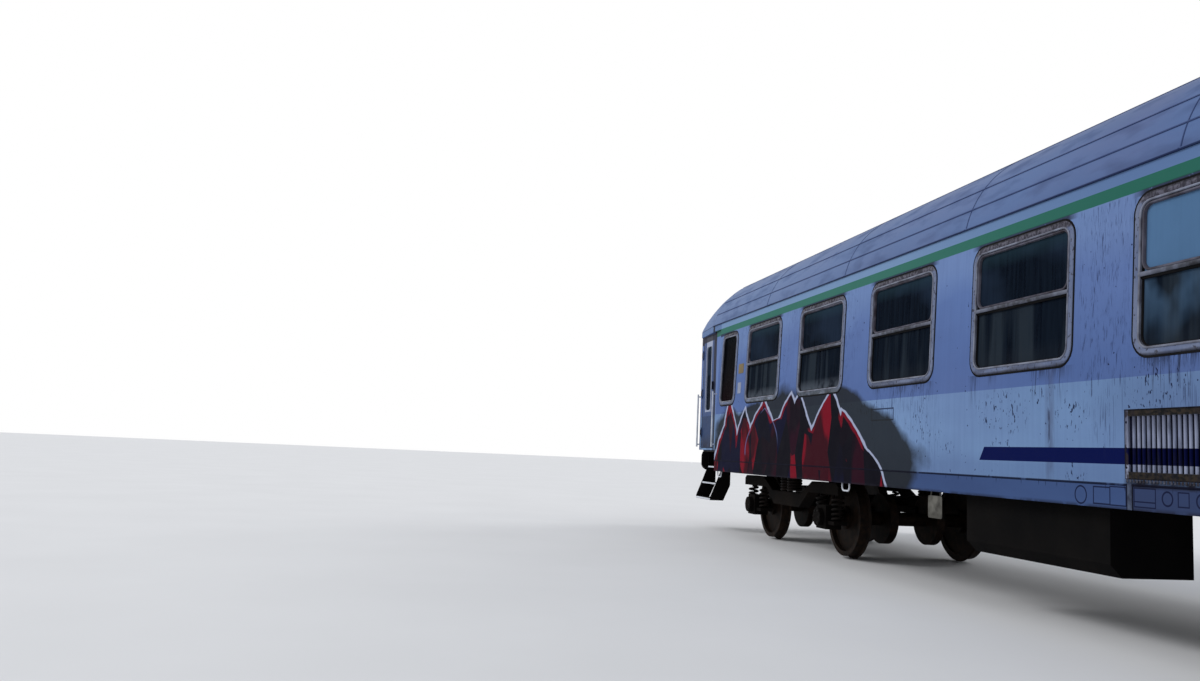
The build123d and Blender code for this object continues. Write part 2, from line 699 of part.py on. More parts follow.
def underframe():
    """Welded frame under the floor: sole bars, centre sills, cross bearers, bolsters, headstocks."""
    edge = HALF_WIDTH - WALL - BEARER_IN
    low = UNDER_Z - SILL_BEAM_H
    bars = []
    for side in (-1, 1):
        y = side * (HALF_WIDTH - WALL - SOLE_W)
        bars.append(block(BEARER_IN - SIDE_HALF, SIDE_HALF - BEARER_IN, y, y + side * SOLE_W,
                          SILL_Z + SOLE_RISE, UNDER_Z))
        y = side * SILL_BEAM_Y
        bars.append(block(-HEADSTOCK_X, HEADSTOCK_X, y - SILL_BEAM_W / 2, y + SILL_BEAM_W / 2, low, UNDER_Z))
    reach = int(SIDE_HALF // PITCH)
    for x in [i * PITCH for i in range(-reach, reach + 1)]:
        if BOGIE_X - abs(x) > BOGIE_ROOM:
            bars.append(block(x - BEARER_W / 2, x + BEARER_W / 2, -edge, edge, low, UNDER_Z))
    for end in (-1, 1):
        x = end * BOGIE_X
        bars.append(block(x - BOLSTER_BEAM_W / 2, x + BOLSTER_BEAM_W / 2, -edge, edge,
                          UNDER_Z - BOLSTER_BEAM_H, UNDER_Z))
        x = end * HEADSTOCK_X
        bars.append(block(x - end * HEADSTOCK_T, x, -HEADSTOCK_Y, HEADSTOCK_Y,
                          BUFFER_Z - HEADSTOCK_DROP, UNDER_Z))
        for y in (-END_SILL_Y, END_SILL_Y):
            bars.append(block(x - end * HEADSTOCK_T / 2, end * HALF, y - END_SILL_W / 2, y + END_SILL_W / 2,
                              UNDER_Z - END_SILL_H, UNDER_Z))
        width = CORNER_Y - END_T
        bars.append(block(end * (HALF - END_PLATE_W), end * HALF, -width, width,
                          UNDER_Z - END_PLATE_T, UNDER_Z))
    return fused(bars)


def buffers():
    """Four buffers: foot and housing on the headstock, plunger and wide plate."""
    neck = BUFFER_X - PLUNGER_L
    foot = block(HEADSTOCK_X, HEADSTOCK_X + BUFFER_FOOT_T, BUFFER_Y - BUFFER_R, BUFFER_Y + BUFFER_R,
                 BUFFER_Z - BUFFER_R, BUFFER_Z + BUFFER_R)
    house = bar_x(HEADSTOCK_X, neck, BUFFER_Y, BUFFER_Z, BUFFER_R)
    plunger = bar_x(neck, BUFFER_X - BUFFER_PLATE_T, BUFFER_Y, BUFFER_Z, PLUNGER_R)
    face = RectangleRounded(BUFFER_PLATE_W, BUFFER_PLATE_H, BUFFER_PLATE_R)
    back = Plane.YZ.offset(BUFFER_X - BUFFER_PLATE_T)
    plate = extrude(back * Pos(BUFFER_Y, BUFFER_Z, 0) * face, BUFFER_PLATE_T)
    plate = chamfer(plate.faces().sort_by(Axis.X)[-1].edges(), BUFFER_PLATE_EDGE)
    return four_corners(foot + house + plunger + plate)


def draw_gear():
    """Draw hook with its screw coupling hanging below, at each end."""
    hook = outline(Plane.XZ, [(HEADSTOCK_X + x, BUFFER_Z + z) for x, z in HOOK], HOOK_T / 2, both=True)
    x0, x1 = HEADSTOCK_X + LINK_X - LINK_T / 2, HEADSTOCK_X + LINK_X + LINK_T / 2
    bars = [hook]
    for y in (-LINK_Y, LINK_Y):
        bars.append(block(x0, x1, y - LINK_BAR_T / 2, y + LINK_BAR_T / 2,
                          BUFFER_Z - LINK_PINS[0] - LINK_L, BUFFER_Z - LINK_PINS[0]))
    for drop in LINK_PINS:
        z = BUFFER_Z - drop
        bars.append(block(x0, x1, -LINK_PIN_L / 2, LINK_PIN_L / 2, z - LINK_PIN_H / 2, z + LINK_PIN_H / 2))
    return both_ends(fused(bars))


def entry_steps():
    """Treads between two side plates under each door."""
    x0, x1 = DOOR_X - DOOR_W / 2, DOOR_X + DOOR_W / 2
    inner = HEADSTOCK_Y + STEP_ROOM
    outer = HALF_WIDTH - STEP_IN
    front = []
    treads = []
    for i, height in enumerate(TREADS):
        edge = outer - i * TREAD_RAKE * (outer - inner)
        top = RAIL_Z + height
        treads.append(block(x0, x1, max(inner, edge - TREAD_D), edge, top - TREAD_T, top))
        front.append((edge, top + TREAD_T))
    low = RAIL_Z + TREADS[0] - TREAD_T
    back = [(front[-1][0], UNDER_Z), (inner, UNDER_Z), (inner, RAIL_Z + TREADS[1] - TREAD_T),
            (max(inner, outer - TREAD_D), low)]
    points = [(outer, low)] + front + back
    plates = [outline(Plane.YZ.offset(x), points, STEP_SIDE_T) for x in (x0, x1 - STEP_SIDE_T)]
    return four_corners(fused(treads + plates))


def handrails():
    """Upright grab rails on both sides of every door."""
    low = FLOOR_Z + RAIL_RISE
    rails = []
    for x, out in ((SIDE_HALF + RAIL_DOOR_X, RAIL_OUT), (HALF - RAIL_CORNER_X, RAIL_CORNER_OUT)):
        wall = taper_y(x)
        rail = Pos(x, wall + out, low + RAIL_L / 2) * Cylinder(RAIL_R, RAIL_L)
        for z in (low + RAIL_STUB_IN, low + RAIL_L - RAIL_STUB_IN):
            rail += bar_y(x, wall + SEAT + RAIL_STUB_R * math.tan(TAPER), wall + out, z, RAIL_STUB_R)
        rails += four_corners(rail)
    return rails


def rope_loops():
    """Bent loops that hang from the lower edge of both side walls."""
    y = HALF_WIDTH - WALL / 2
    high, low = SILL_Z - SEAT, SILL_Z - LOOP_H
    loops = []
    for inset in LOOP_INS:
        x0, x1 = SIDE_HALF - inset - LOOP_W, SIDE_HALF - inset
        path = FilletPolyline((x0, y, high), (x0, y, low), (x1, y, low), (x1, y, high), radius=LOOP_BEND)
        loops += four_corners(sweep(Plane(origin=path @ 0, z_dir=path % 0) * Circle(LOOP_R), path))
    return loops


def wheelset(x):
    """Axle with two flanged wheels and two brake discs, turned in one profile about its axis."""
    tread, flange = WHEEL_D / 2, WHEEL_D / 2 + FLANGE_H
    rim = tread - RIM_T
    back = WHEEL_BACK / 2
    front = back + WHEEL_W
    disc_in, disc_out = DISC_Y - DISC_T / 2, DISC_Y + DISC_T / 2
    web = back + WEB_SET
    end = BEAM_Y + JOURNAL_L
    # Radius and distance from the middle along the axle
    half = [(AXLE_R, disc_in), (DISC_R, disc_in), (DISC_R, disc_out), (AXLE_R, disc_out), (AXLE_R, back),
            (HUB_R, back), (HUB_R, web), (rim, web - WEB_DISH), (rim, back), (flange - FLANGE_H / 2, back),
            (flange, back + FLANGE_H / 2), (tread, back + FLANGE_W), (tread - TREAD_FALL, front),
            (rim, front), (rim, web - WEB_DISH + WEB_T), (HUB_R, web + WEB_T), (HUB_R, front),
            (JOURNAL_R, front + HUB_CONE_L), (JOURNAL_R, end), (0, end)]
    points = half + [(r, -y) for r, y in reversed(half)]
    turned = revolve(Plane.XY * make_face(Polyline(*points, close=True)), Axis.Y, 360)
    return Pos(x, 0, AXLE_Z) * turned


def bogie_frame():
    """Welded bogie frame about its own centre: two cranked side beams and two transoms."""
    a = WHEELBASE / 2
    tip = a + BEAM_REACH
    low, high = AXLE_Z + BEAM_LOW, AXLE_Z + BEAM_HIGH
    end_low, end_high = AXLE_Z + BEAM_END_LOW, AXLE_Z + BEAM_END_HIGH
    right = [(BEAM_FLAT, low), (BEAM_FLAT + BEAM_CRANK, end_low), (tip, end_low),
             (tip, end_low + BEAM_END_H), (tip - BEAM_NOSE, end_high),
             (a - AXLE_SPRING_X - BEAM_SHOULDER, end_high),
             (BEAM_FLAT + BEAM_NOSE, high)]
    points = right + [(-x, z) for x, z in reversed(right)]
    bars = both_sides(outline(Plane.XZ.offset(-BEAM_Y), points, BEAM_T / 2, both=True))
    for x in (-TRANSOM_X, TRANSOM_X):
        bars.append(block(x - TRANSOM_W / 2, x + TRANSOM_W / 2, -BEAM_Y, BEAM_Y,
                          AXLE_Z + TRANSOM_LOW, AXLE_Z + TRANSOM_TOP))
    return fused(bars)


def bogie_bolster():
    """Swing bolster over two pairs of coil springs, with the centre pivot on top."""
    half = BEAM_Y + BOLSTER_OUT
    top = BOLSTER_LOW_Z + BOLSTER_T
    bolster = block(-BOLSTER_W / 2, BOLSTER_W / 2, -half, half, BOLSTER_LOW_Z, top)
    return bolster + Pos(0, 0, top + (PIVOT_H - SEAT) / 2) * Cylinder(PIVOT_R, PIVOT_H - SEAT)


def coil(x, y, low, high, r):
    """Coil spring as a turned stack of its turns."""
    step = (high - low) / SPRING_TURNS / 2
    crests = [(r - SPRING_GROOVE * (i % 2 == 0), low + i * step) for i in range(2 * SPRING_TURNS + 1)]
    face = make_face(Polyline((0, low), *crests, (0, high), close=True))
    return Pos(x, y, 0) * revolve(Plane.XZ * face, Axis.Z, 360)


def bogie_springs():
    """Bolster springs in the middle of each side beam and the springs over the axle boxes' arms."""
    springs = []
    arm, beam = AXLE_Z - BOX_ARM_DROP + BOX_ARM_T, AXLE_Z + BEAM_END_LOW
    for y in (-BEAM_Y, BEAM_Y):
        for x in (-BOLSTER_SPRING_X, BOLSTER_SPRING_X):
            springs.append(coil(x, y, AXLE_Z + BEAM_HIGH, BOLSTER_LOW_Z, BOLSTER_SPRING_R))
        for axle in (-WHEELBASE / 2, WHEELBASE / 2):
            for x in (axle - AXLE_SPRING_X, axle + AXLE_SPRING_X):
                springs.append(coil(x, y, arm, beam, AXLE_SPRING_R))
    return springs


def axle_boxes():
    """Axle boxes with a spring seat on both sides of each and a round cap, one at each wheel."""
    boxes = []
    arm_low = AXLE_Z - BOX_ARM_DROP
    for x in (-WHEELBASE / 2, WHEELBASE / 2):
        box = block(x - BOX_W / 2, x + BOX_W / 2, BEAM_Y - BOX_IN, BEAM_Y + BOX_OUT,
                    AXLE_Z - BOX_W / 2, AXLE_Z + BOX_W / 2)
        box += block(x - BOX_ARM_L / 2, x + BOX_ARM_L / 2, BEAM_Y - BOX_ARM_W / 2, BEAM_Y + BOX_ARM_W / 2,
                     arm_low, arm_low + BOX_ARM_T)
        box += bar_y(x, BEAM_Y, BEAM_Y + BOX_OUT + BOX_CAP_L, AXLE_Z, BOX_CAP_R)
        box -= bar_y(x, BEAM_Y - 2 * BOX_IN, BEAM_Y + JOURNAL_L + SEAT, AXLE_Z, JOURNAL_R + JOURNAL_GAP)
        boxes += both_sides(box)
    return boxes


def brake_gear():
    """Brake calipers over the discs, carried by the transoms."""
    gear = []
    low = AXLE_Z + CALIPER_LOW
    root = TRANSOM_X + TRANSOM_W / 2
    tip = WHEELBASE / 2 - DISC_R + CALIPER_BITE
    inside = DISC_T / 2 + CALIPER_GAP
    outside = inside + CALIPER_T
    body = block(root, root + CALIPER_BODY_L, DISC_Y - outside, DISC_Y + outside, low, low + CALIPER_BODY_H)
    arms = [block(root, tip, DISC_Y + side * inside, DISC_Y + side * outside, low, low + CALIPER_H)
            for side in (-1, 1)]
    for side in both_sides(fused([body] + arms)):
        gear += both_ends(side)
    return gear


def equipment():
    """Closed boxes hung under the floor between cross bearers, with a sloped lower edge outside."""
    boxes = []
    outer = HALF_WIDTH - EQUIPMENT_IN
    inner = outer - EQUIPMENT_D
    low, high = RAIL_Z + EQUIPMENT_LOW, SILL_Z + SOLE_RISE - SEAT
    section = [(inner, low), (outer - EQUIPMENT_CHAMFER, low), (outer, low + EQUIPMENT_CHAMFER),
               (outer, high), (inner, high)]
    for bay, side in EQUIPMENT:
        x0 = bay * PITCH + EQUIPMENT_MARGIN
        length = PITCH - 2 * EQUIPMENT_MARGIN
        box = outline(Plane.YZ.offset(x0), section, length)
        for x in (x0 + HANGER_IN, x0 + length - HANGER_IN - HANGER_W):
            box += block(x, x + HANGER_W, inner + HANGER_W, outer - HANGER_W, high, UNDER_Z)
        boxes.append(box if side > 0 else mirror(box, about=Plane.XZ))
    return boxes


def reservoirs():
    """Air reservoirs across the coach with dished ends, hung from the centre sills by straps."""
    z = RAIL_Z + TANK_H
    half = TANK_L / 2
    crown = half + TANK_DISH
    # Radius of the point half way round the dish, on the arc through rim and crown
    dish_r = (TANK_R ** 2 + TANK_DISH ** 2) / (2 * TANK_DISH)
    turn = math.asin(TANK_R / dish_r) / 2
    mid = (dish_r * math.sin(turn), crown - dish_r * (1 - math.cos(turn)))
    low_mid = (mid[0], -mid[1])
    face = make_face([Line((0, -crown), (0, crown)),
                      ThreePointArc((0, crown), mid, (TANK_R, half)),
                      Line((TANK_R, half), (TANK_R, -half)),
                      ThreePointArc((TANK_R, -half), low_mid, (0, -crown))])
    shell = revolve(Plane.XY * face, Axis.Y, 360)
    tanks = []
    for x in TANK_XS:
        tank = Pos(x, 0, z) * shell
        for y in (-SILL_BEAM_Y, SILL_BEAM_Y):
            tank += block(x - STRAP_W / 2, x + STRAP_W / 2, y - STRAP_W / 2, y + STRAP_W / 2,
                          z + TANK_R / 2, UNDER_Z - SILL_BEAM_H)
        tanks.append(tank)
    return tanks


def corridor_wall():
    """Panels with panes between the compartments' doorways, and the rail over them all."""
    y0, y1 = CORRIDOR_Y - CORRIDOR_WALL_T, CORRIDOR_Y
    end = SIDE_HALF - WALL
    edges = [-end] + [x + side * DOORWAY_W / 2 for x in WINDOW_XS for side in (-1, 1)] + [end]
    head = FLOOR_Z + DOORWAY_H
    pieces = [block(-end, end, y0, y1, head, GUTTER_Z)]
    for x0, x1 in zip(edges[::2], edges[1::2]):
        panel = block(x0, x1, y0, y1, FLOOR_Z, head - SEAT)
        for x in [w + off for w in WINDOW_XS for off in (-PANE_X, PANE_X)]:
            if x0 < x < x1:
                low = FLOOR_Z + PANE_LOW
                panel -= block(x - PANE_W / 2, x + PANE_W / 2, y0, y1, low, low + PANE_H)
        pieces.append(panel)
    return pieces


def compartment_edges():
    """Places along the coach of the walls between compartments."""
    return [(i - WINDOWS_PER_SIDE / 2) * PITCH for i in range(WINDOWS_PER_SIDE + 1)]


def cross_partitions():
    """Walls across the coach between the compartments."""
    y0, y1 = WALL + PARTITION_ROOM - HALF_WIDTH, CORRIDOR_Y - CORRIDOR_WALL_T
    return [block(x - PARTITION_T / 2, x + PARTITION_T / 2, y0, y1, FLOOR_Z, GUTTER_Z)
            for x in compartment_edges()]


def vestibule_partitions():
    """Wall between vestibule and corridor with its doorway."""
    x0 = SIDE_HALF - WALL
    y = RECESS_Y - VESTIBULE_WALL
    wall = block(x0, x0 + PARTITION_T, -y, y, FLOOR_Z, GUTTER_Z)
    door_y = CORRIDOR_Y + PARTITION_ROOM
    wall -= block(x0, x0 + PARTITION_T, door_y, door_y + VESTIBULE_DOORWAY_W,
                  FLOOR_Z, FLOOR_Z + VESTIBULE_DOORWAY_H)
    return both_ends(wall)


def bench_row(points):
    """Outline repeated along both partitions of every compartment, between window wall and corridor."""
    y0, y1 = WALL + BENCH_IN - HALF_WIDTH, CORRIDOR_Y - PARTITION_ROOM
    edges = compartment_edges()
    pieces = []
    for left, right in zip(edges, edges[1:]):
        for start, sign in ((left + PARTITION_T / 2, 1), (right - PARTITION_T / 2, -1)):
            placed = [(start + sign * d, FLOOR_Z + z) for d, z in points]
            pieces.append(outline(Plane.XZ.offset(-y0), placed, y0 - y1))
    return pieces


def ceiling():
    """Flat ceiling under the roof."""
    y = half_width(GUTTER_Z) - CEILING_IN
    return block(-SIDE_HALF, SIDE_HALF, -y, y, GUTTER_Z, GUTTER_Z + CEILING_T)


def roof_hood():
    """Domed roof end, from the last ribbed panel to the end wall, hollow behind."""
    gutter = half_width(GUTTER_Z)
    end_top = GUTTER_Z + HOOD_RISE
    sections = []
    for t in HOOD_STEPS:
        half = gutter + t * (END_HALF_WIDTH - gutter)
        top = end_top + (ROOF_TOP_Z - end_top) * math.sqrt(1 - t * t)
        crown = CROWN_R * ROOF_RISE / (top - GUTTER_Z)
        sections.append(Plane.YZ.offset(ROOF_BREAK + t * HOOD_L) * arch_face(half, top, crown))
    crown = CROWN_R * ROOF_RISE / HOOD_RISE
    inside = arch_face(END_HALF_WIDTH - ROOF_T, end_top - ROOF_T, crown)
    return loft(sections, ruled=True) - extrude(Plane.YZ.offset(ROOF_BREAK) * inside, HOOD_L - ROOF_T)


def roof():
    """Roof shell with lengthwise seams, cross joints and gutters, and a domed hood at each end."""
    gutter = half_width(GUTTER_Z)
    inside = arch_face(gutter - ROOF_T, ROOF_TOP_Z - ROOF_T, CROWN_R - ROOF_T)
    main = extrude(Plane.YZ * arch_face(gutter, ROOF_TOP_Z, CROWN_R), ROOF_BREAK, both=True)
    joint = arch_face(gutter + JOINT_PROUD, ROOF_TOP_Z + JOINT_PROUD, CROWN_R + JOINT_PROUD)
    panels = int(2 * ROOF_BREAK // ROOF_PANEL)
    for x in [(i - (panels - 1) / 2) * ROOF_PANEL for i in range(panels)]:
        main += extrude(Plane.YZ.offset(x) * joint, JOINT_W / 2, both=True)
    main -= extrude(Plane.YZ * inside, ROOF_BREAK, both=True)
    for degrees in SEAM_TURNS:
        y, z = roof_point(math.radians(degrees))
        seam = Pos(0, y, z) * Rot(-degrees, 0, 0) * Box(2 * ROOF_BREAK, SEAM_W, 2 * SEAM_PROUD)
        for copy in both_sides(seam):
            main += copy
    ledge = block(-ROOF_BREAK, ROOF_BREAK, gutter - GUTTER_W, gutter + GUTTER_W,
                  GUTTER_Z, GUTTER_Z + GUTTER_T)
    for copy in both_sides(ledge):
        main += copy
    for hood in both_ends(roof_hood()):
        main += hood
    return main


def bogie(sign):
    """All nodes of one bogie apart from its wheelsets, at its place under the coach."""
    nodes = {"frame": [bogie_frame()], "bolster": [bogie_bolster()], "springs": bogie_springs(),
             "axle_boxes": axle_boxes(), "brakes": brake_gear()}
    return {name: [Pos(sign * BOGIE_X, 0, 0) * shape for shape in shapes] for name, shapes in nodes.items()}


os.makedirs("parts", exist_ok=True)

sides = {"side_wall": [side_wall()], "window_frames": window_frames(), "window_glass": window_glass()}
for name, shapes in sides.items():
    save(name + "_left", shapes)
    save(name + "_right", [mirror(shape, about=Plane.XZ) for shape in shapes])
save("air_grille", [air_grille()])
save("roof", [roof()])
save("floor", [floor_slab()])
save("underframe", [underframe()])
save("corridor_wall", corridor_wall())
save("cross_partitions", cross_partitions())
save("vestibule_partitions", vestibule_partitions())
save("seats", bench_row(BENCH))
save("luggage_racks", bench_row([(SEAT, RACK_RISE), (RACK_D, RACK_RISE), (RACK_D, RACK_RISE + RACK_T),
                                 (SEAT, RACK_RISE + RACK_T)]))
save("ceiling", [ceiling()])
save("buffers", buffers())
save("draw_gear", draw_gear())
save("entry_steps", entry_steps())
save("handrails", handrails() + rope_loops())
save("end_lamps", end_lamps())
save("equipment_boxes", equipment())
save("air_reservoirs", reservoirs())

end_pieces = {
    "end_wall": [vestibule_end()],
    "gangway_tubes": gangway_tubes(),
    "bridge_plate": [bridge_plate()],
}
door_pieces = {
    "side_door": side_door(),
    "side_door_glass": side_door_glass(),
    "gangway_door": gangway_leaf(),
    "gangway_glass": gangway_glass(),
}
for end, sign in (("a", 1), ("b", -1)):
    turn = Rot(0, 0, 90 - 90 * sign)
    for name, shapes in end_pieces.items():
        save(name + "_" + end, [turn * shape for shape in shapes])
    # The left door at one end is the right door's twin, turned half round
    for side, mirrored in (("left", sign < 0), ("right", sign > 0)):
        for name, shape in door_pieces.items():
            copy = mirror(shape, about=Plane.XZ) if mirrored else shape
            save(name + "_" + end + "_" + side, [turn * copy])
    for name, shapes in bogie(sign).items():
        save("bogie_" + name + "_" + end, shapes)
    for number, offset in ((1, WHEELBASE / 2), (2, -WHEELBASE / 2)):
        save("wheelset_" + end + str(number), [wheelset(sign * (BOGIE_X + offset))])
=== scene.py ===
import functools
import math

import bpy
from mathutils import Matrix, Vector


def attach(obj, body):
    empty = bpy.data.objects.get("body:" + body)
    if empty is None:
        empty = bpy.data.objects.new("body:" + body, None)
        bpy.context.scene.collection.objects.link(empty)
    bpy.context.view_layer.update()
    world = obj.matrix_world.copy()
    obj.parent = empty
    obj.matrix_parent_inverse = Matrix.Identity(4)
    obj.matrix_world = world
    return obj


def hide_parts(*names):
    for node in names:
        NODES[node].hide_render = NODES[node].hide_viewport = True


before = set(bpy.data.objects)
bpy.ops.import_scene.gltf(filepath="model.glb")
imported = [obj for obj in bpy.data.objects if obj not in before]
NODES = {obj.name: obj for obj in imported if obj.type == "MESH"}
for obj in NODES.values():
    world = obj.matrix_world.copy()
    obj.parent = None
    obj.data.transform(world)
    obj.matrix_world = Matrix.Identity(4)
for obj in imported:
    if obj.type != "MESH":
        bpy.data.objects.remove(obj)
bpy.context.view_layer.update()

SCENE = bpy.context.scene

# Heights above the floor in metres; the rail's top is a flange height above it
RAIL = 0.028
SILL = RAIL + 0.900
SKIRT = RAIL + 1.066
STRIPE_LOW = RAIL + 1.194
STRIPE_HIGH = RAIL + 1.302
WAIST = RAIL + 1.767
WINDOW_LOW = RAIL + 1.895
WINDOW_HIGH = RAIL + 2.981
GREEN_LOW = RAIL + 3.009
GREEN_HIGH = RAIL + 3.101
GUTTER = RAIL + 3.187
ROOF_TOP = RAIL + 4.050
FLOOR = RAIL + 1.250
BUFFER_Z = RAIL + 1.060
AXLE_Z = RAIL + 0.460

# Sizes across and along the coach
HALF = 12.100
HALF_WIDTH = 1.4125
LEAN = 0.04
SIDE_HALF = 10.757
ROOF_BREAK = 11.200
ROOF_PANEL = 2.500
CROWN_R = 2.200
SHOULDER_TURN = math.radians(78)
SEAM_TURNS = (12.0, 30.0, 53.5, 66.5)
PITCH = 1.950
WINDOW_W = 1.324
WINDOW_R = 0.140
NARROW_X = 10.245
NARROW_W = 0.740
FRAME_BAR = 0.060
FRAME_BACK = -0.021
BEAD_W = 0.015
TRANSOM_H = 0.030
STRIPE_START = 3.435
GRILLE_X = 1.065
GRILLE_W = 1.300
GRILLE_LOW = RAIL + 1.098
GRILLE_HIGH = RAIL + 1.554
GRILLE_FACE = HALF_WIDTH + 0.003
STRIP_X = 1.675
BOGIE_X = 8.600
WHEELBASE = 2.500
BEAM_Y = 1.000
CAP_Y = 1.170
DOOR_X = 11.580
DOOR_W = 0.790
HEADSTOCK_X = 11.630
BUFFER_Y = 0.875
LAMP_Y = 1.060
LAMP_Z = RAIL + 2.880

SURROUND_W = 0.386
SURROUND_LOW = RAIL + 1.837
GRILLE_HEAD = 0.045
GRILLE_FOOT = 0.049
END_EDGE_Y = 1.160
JOINT_END = 9.500
STRIPE_SLANT = 0.66
SOCKET_Y = 0.930
SOCKET_Z = RAIL + 1.430

# Profiles of what goes round or across a window: distance in from its edge or up from its middle, then out
BEAD_EDGE = FRAME_BAR - BEAD_W
FRAME_RING = (
    (0.000, -0.010), (0.000, 0.004), (0.004, 0.0075), (0.036, 0.009), (0.041, 0.0065),
    (BEAD_EDGE, 0.006), (BEAD_EDGE, FRAME_BACK), (0.000, FRAME_BACK),
)
BEAD_RING = (
    (0.000, -0.015), (0.000, 0.008), (0.003, 0.0115), (0.010, 0.012), (BEAD_W, 0.008),
    (BEAD_W, FRAME_BACK), (0.006, FRAME_BACK),
)
SASH_RING = (
    (0.000, -0.020), (0.000, -0.002), (0.004, 0.002), (0.014, 0.002), (0.019, -0.006), (0.019, -0.020),
)
# The outer seal is a real gasket widened to 17 mm, so that its black also stands as painted shade in the gap
# round each frame
OUTER_SEAL_AND_SHADE = ((0.000, -0.002), (0.001, 0.003), (0.009, 0.0045), (0.017, 0.003), (0.017, -0.002))
INNER_SEAL = ((-0.001, -0.008), (0.004, -0.007), (0.009, -0.012), (0.009, -0.020), (-0.001, -0.020))
TRANSOM = (
    (-0.015, -0.020), (-0.015, 0.010), (-0.009, 0.0145), (0.009, 0.0145), (0.015, 0.010), (0.015, -0.020),
)
TRANSOM_SEAL = ((-0.031, -0.020), (-0.031, -0.004), (-0.014, 0.006), (-0.014, -0.020))
JOINT_STRIP = ((-0.020, 0.0), (-0.020, 0.003), (-0.012, 0.004), (0.012, 0.004), (0.020, 0.003), (0.020, 0.0))

# Turned profiles: distance along the axis and radius; the bolt's are in shares of its size
BOLT = ((0.0, 1.5), (0.2, 1.5), (0.2, 1.0), (0.9, 1.0), (1.0, 0.85))
SCREW = ((0.0, 0.009), (0.0015, 0.008), (0.002, 0.003))
LAMP_RING = ((0.0, 0.112), (0.012, 0.114), (0.030, 0.108), (0.043, 0.096), (0.043, 0.086), (0.030, 0.086))
SOCKET = ((0.0, 0.085), (0.03, 0.085), (0.05, 0.075), (0.075, 0.072), (0.085, 0.055))

# Bolts: half their spacing round a buffer's foot, heights off the hook's middle, circle on an axle box
BUFFER_BOLTS = 0.098
HOOK_BOLTS = (-0.09, 0.06)
CAP_BOLTS_R = 0.078

# Springs: place along the bogie, low and high end, radius and wire's radius
BOLSTER_SPRING = (0.12, RAIL + 0.70, RAIL + 0.92, 0.100, 0.019)
AXLE_SPRING = (0.23, RAIL + 0.42, RAIL + 0.73, 0.075, 0.015)
COIL_TURNS = 5

# Steps' treads: height and outer edge
TREADS = ((RAIL + 0.457, 1.3250), (RAIL + 0.700, 1.2282), (RAIL + 0.960, 1.1314))

# Blank plates: finish, place along and up the wall, width, height
PLATES = (("plate_yellow", 9.66, 2.430, 0.22, 0.14), ("plate_pale", 9.69, 2.150, 0.14, 0.16))
BOARD_X = 4.215
BOARD_Z = 0.790
BOARD_W = 0.240
BOARD_H = 0.200

# Outlines on the left side: ends along the wall, low and high edge, half the line's width
LABEL_HOLDER = (4.945, 5.420, 1.588, 1.700, 0.0070)
FIELDS = (
    (1.865, 2.030, 0.952, 1.065, 0.0050), (1.447, 1.636, 0.952, 1.072, 0.0042),
    (1.447, 1.636, 0.985, 1.072, 0.0042), (1.169, 1.256, 0.973, 1.060, 0.0042),
    (1.712, 1.865, 0.950, 1.072, 0.0042),
)
RINGS = ((2.163, 1.004, 0.060), (1.345, 1.016, 0.043), (1.066, 1.014, 0.043))

# Spots on the left side: middle along and up the wall, half width, half height
STAIN = (2.505, 1.48, 0.048, 0.50)
STAIN_CORE = (2.515, 1.48, 0.014, 0.22)
CHIP_SPOTS = (
    (3.12, 1.60, 0.34, 0.17), (2.27, 1.56, 0.17, 0.11), (1.43, 1.73, 0.26, 0.15),
    (2.22, 1.13, 0.10, 0.04), (3.30, 1.12, 0.10, 0.03),
)

# Reach along the wall of the window painted with a sky reflection, and of the windows over the sprayed patch
SKY_REFLECTION_REACH = (0.2, 1.7)
SPRAYED = (6.2, 9.5)

# Leaves of the sprayed patch: middle along and up the wall, half width, half height, lean
LEAVES = (
    (10.42, 1.00, 0.34, 0.72, 0.35), (9.98, 1.25, 0.34, 0.72, -0.15), (9.45, 1.00, 0.44, 0.84, 0.10),
    (8.95, 1.30, 0.38, 0.58, 0.50), (8.45, 1.05, 0.46, 0.90, -0.20), (7.85, 1.30, 0.42, 0.66, 0.30),
    (7.30, 1.05, 0.48, 0.90, -0.10), (6.75, 1.20, 0.40, 0.68, 0.35), (6.30, 1.00, 0.46, 0.95, -0.15),
    (5.86, 1.25, 0.32, 0.46, -0.60), (5.50, 0.95, 0.42, 0.50, -0.80), (8.00, 0.90, 2.40, 0.78, 0.00),
)
CLOUD = ((8.00, 1.00, 3.50, 1.22, 0.60), (9.90, 1.00, 1.20, 0.95, -0.20))
VEIN = (8.70, 1.30, 0.62, 0.52, 0.25)

# Camera as fitted to the photograph: place, then turns in degrees
CAMERA_AT = (-4.145, 6.0425, 1.159)
CAMERA_YAW = 10.50
CAMERA_PITCH = 6.28
CAMERA_ROLL = 2.55
CAMERA_LENS = 30

# Lamps: lean from upright and turn in degrees, strength
LAMPS = {"key": (52, 160, 1.3), "fill": (60, 20, 0.5)}
LAMP_SPREAD = 25
WORLD_LIGHT = {"Color": (0.94, 0.97, 1.0, 1.0), "Strength": 0.72}
WORLD_SEEN = {"Color": (1.0, 1.0, 1.0, 1.0), "Strength": 1.0}
GROUND = 150

WINDOW_XS = [(i - 4.5) * PITCH for i in range(10)]
OPENINGS = [(x, WINDOW_W) for x in WINDOW_XS] + [(-NARROW_X, NARROW_W), (NARROW_X, NARROW_W)]
WINDOW_MID = (WINDOW_LOW + WINDOW_HIGH) / 2
WINDOW_H = WINDOW_HIGH - WINDOW_LOW
SIDES = {"left": 1, "right": -1}
ENDS = {"a": 1, "b": -1}
AXLES = (-WHEELBASE / 2, WHEELBASE / 2)


def half_width(z):
    """Half width of the side wall's outer face at height z."""
    return HALF_WIDTH - LEAN * max(0.0, z - WAIST)


def srgb(r, g, b):
    """Linear colour of an 8-bit screen colour."""
    def channel(c):
        c = c / 255
        return c / 12.92 if c <= 0.04045 else ((c + 0.055) / 1.055) ** 2.4
    return (channel(r), channel(g), channel(b), 1.0)


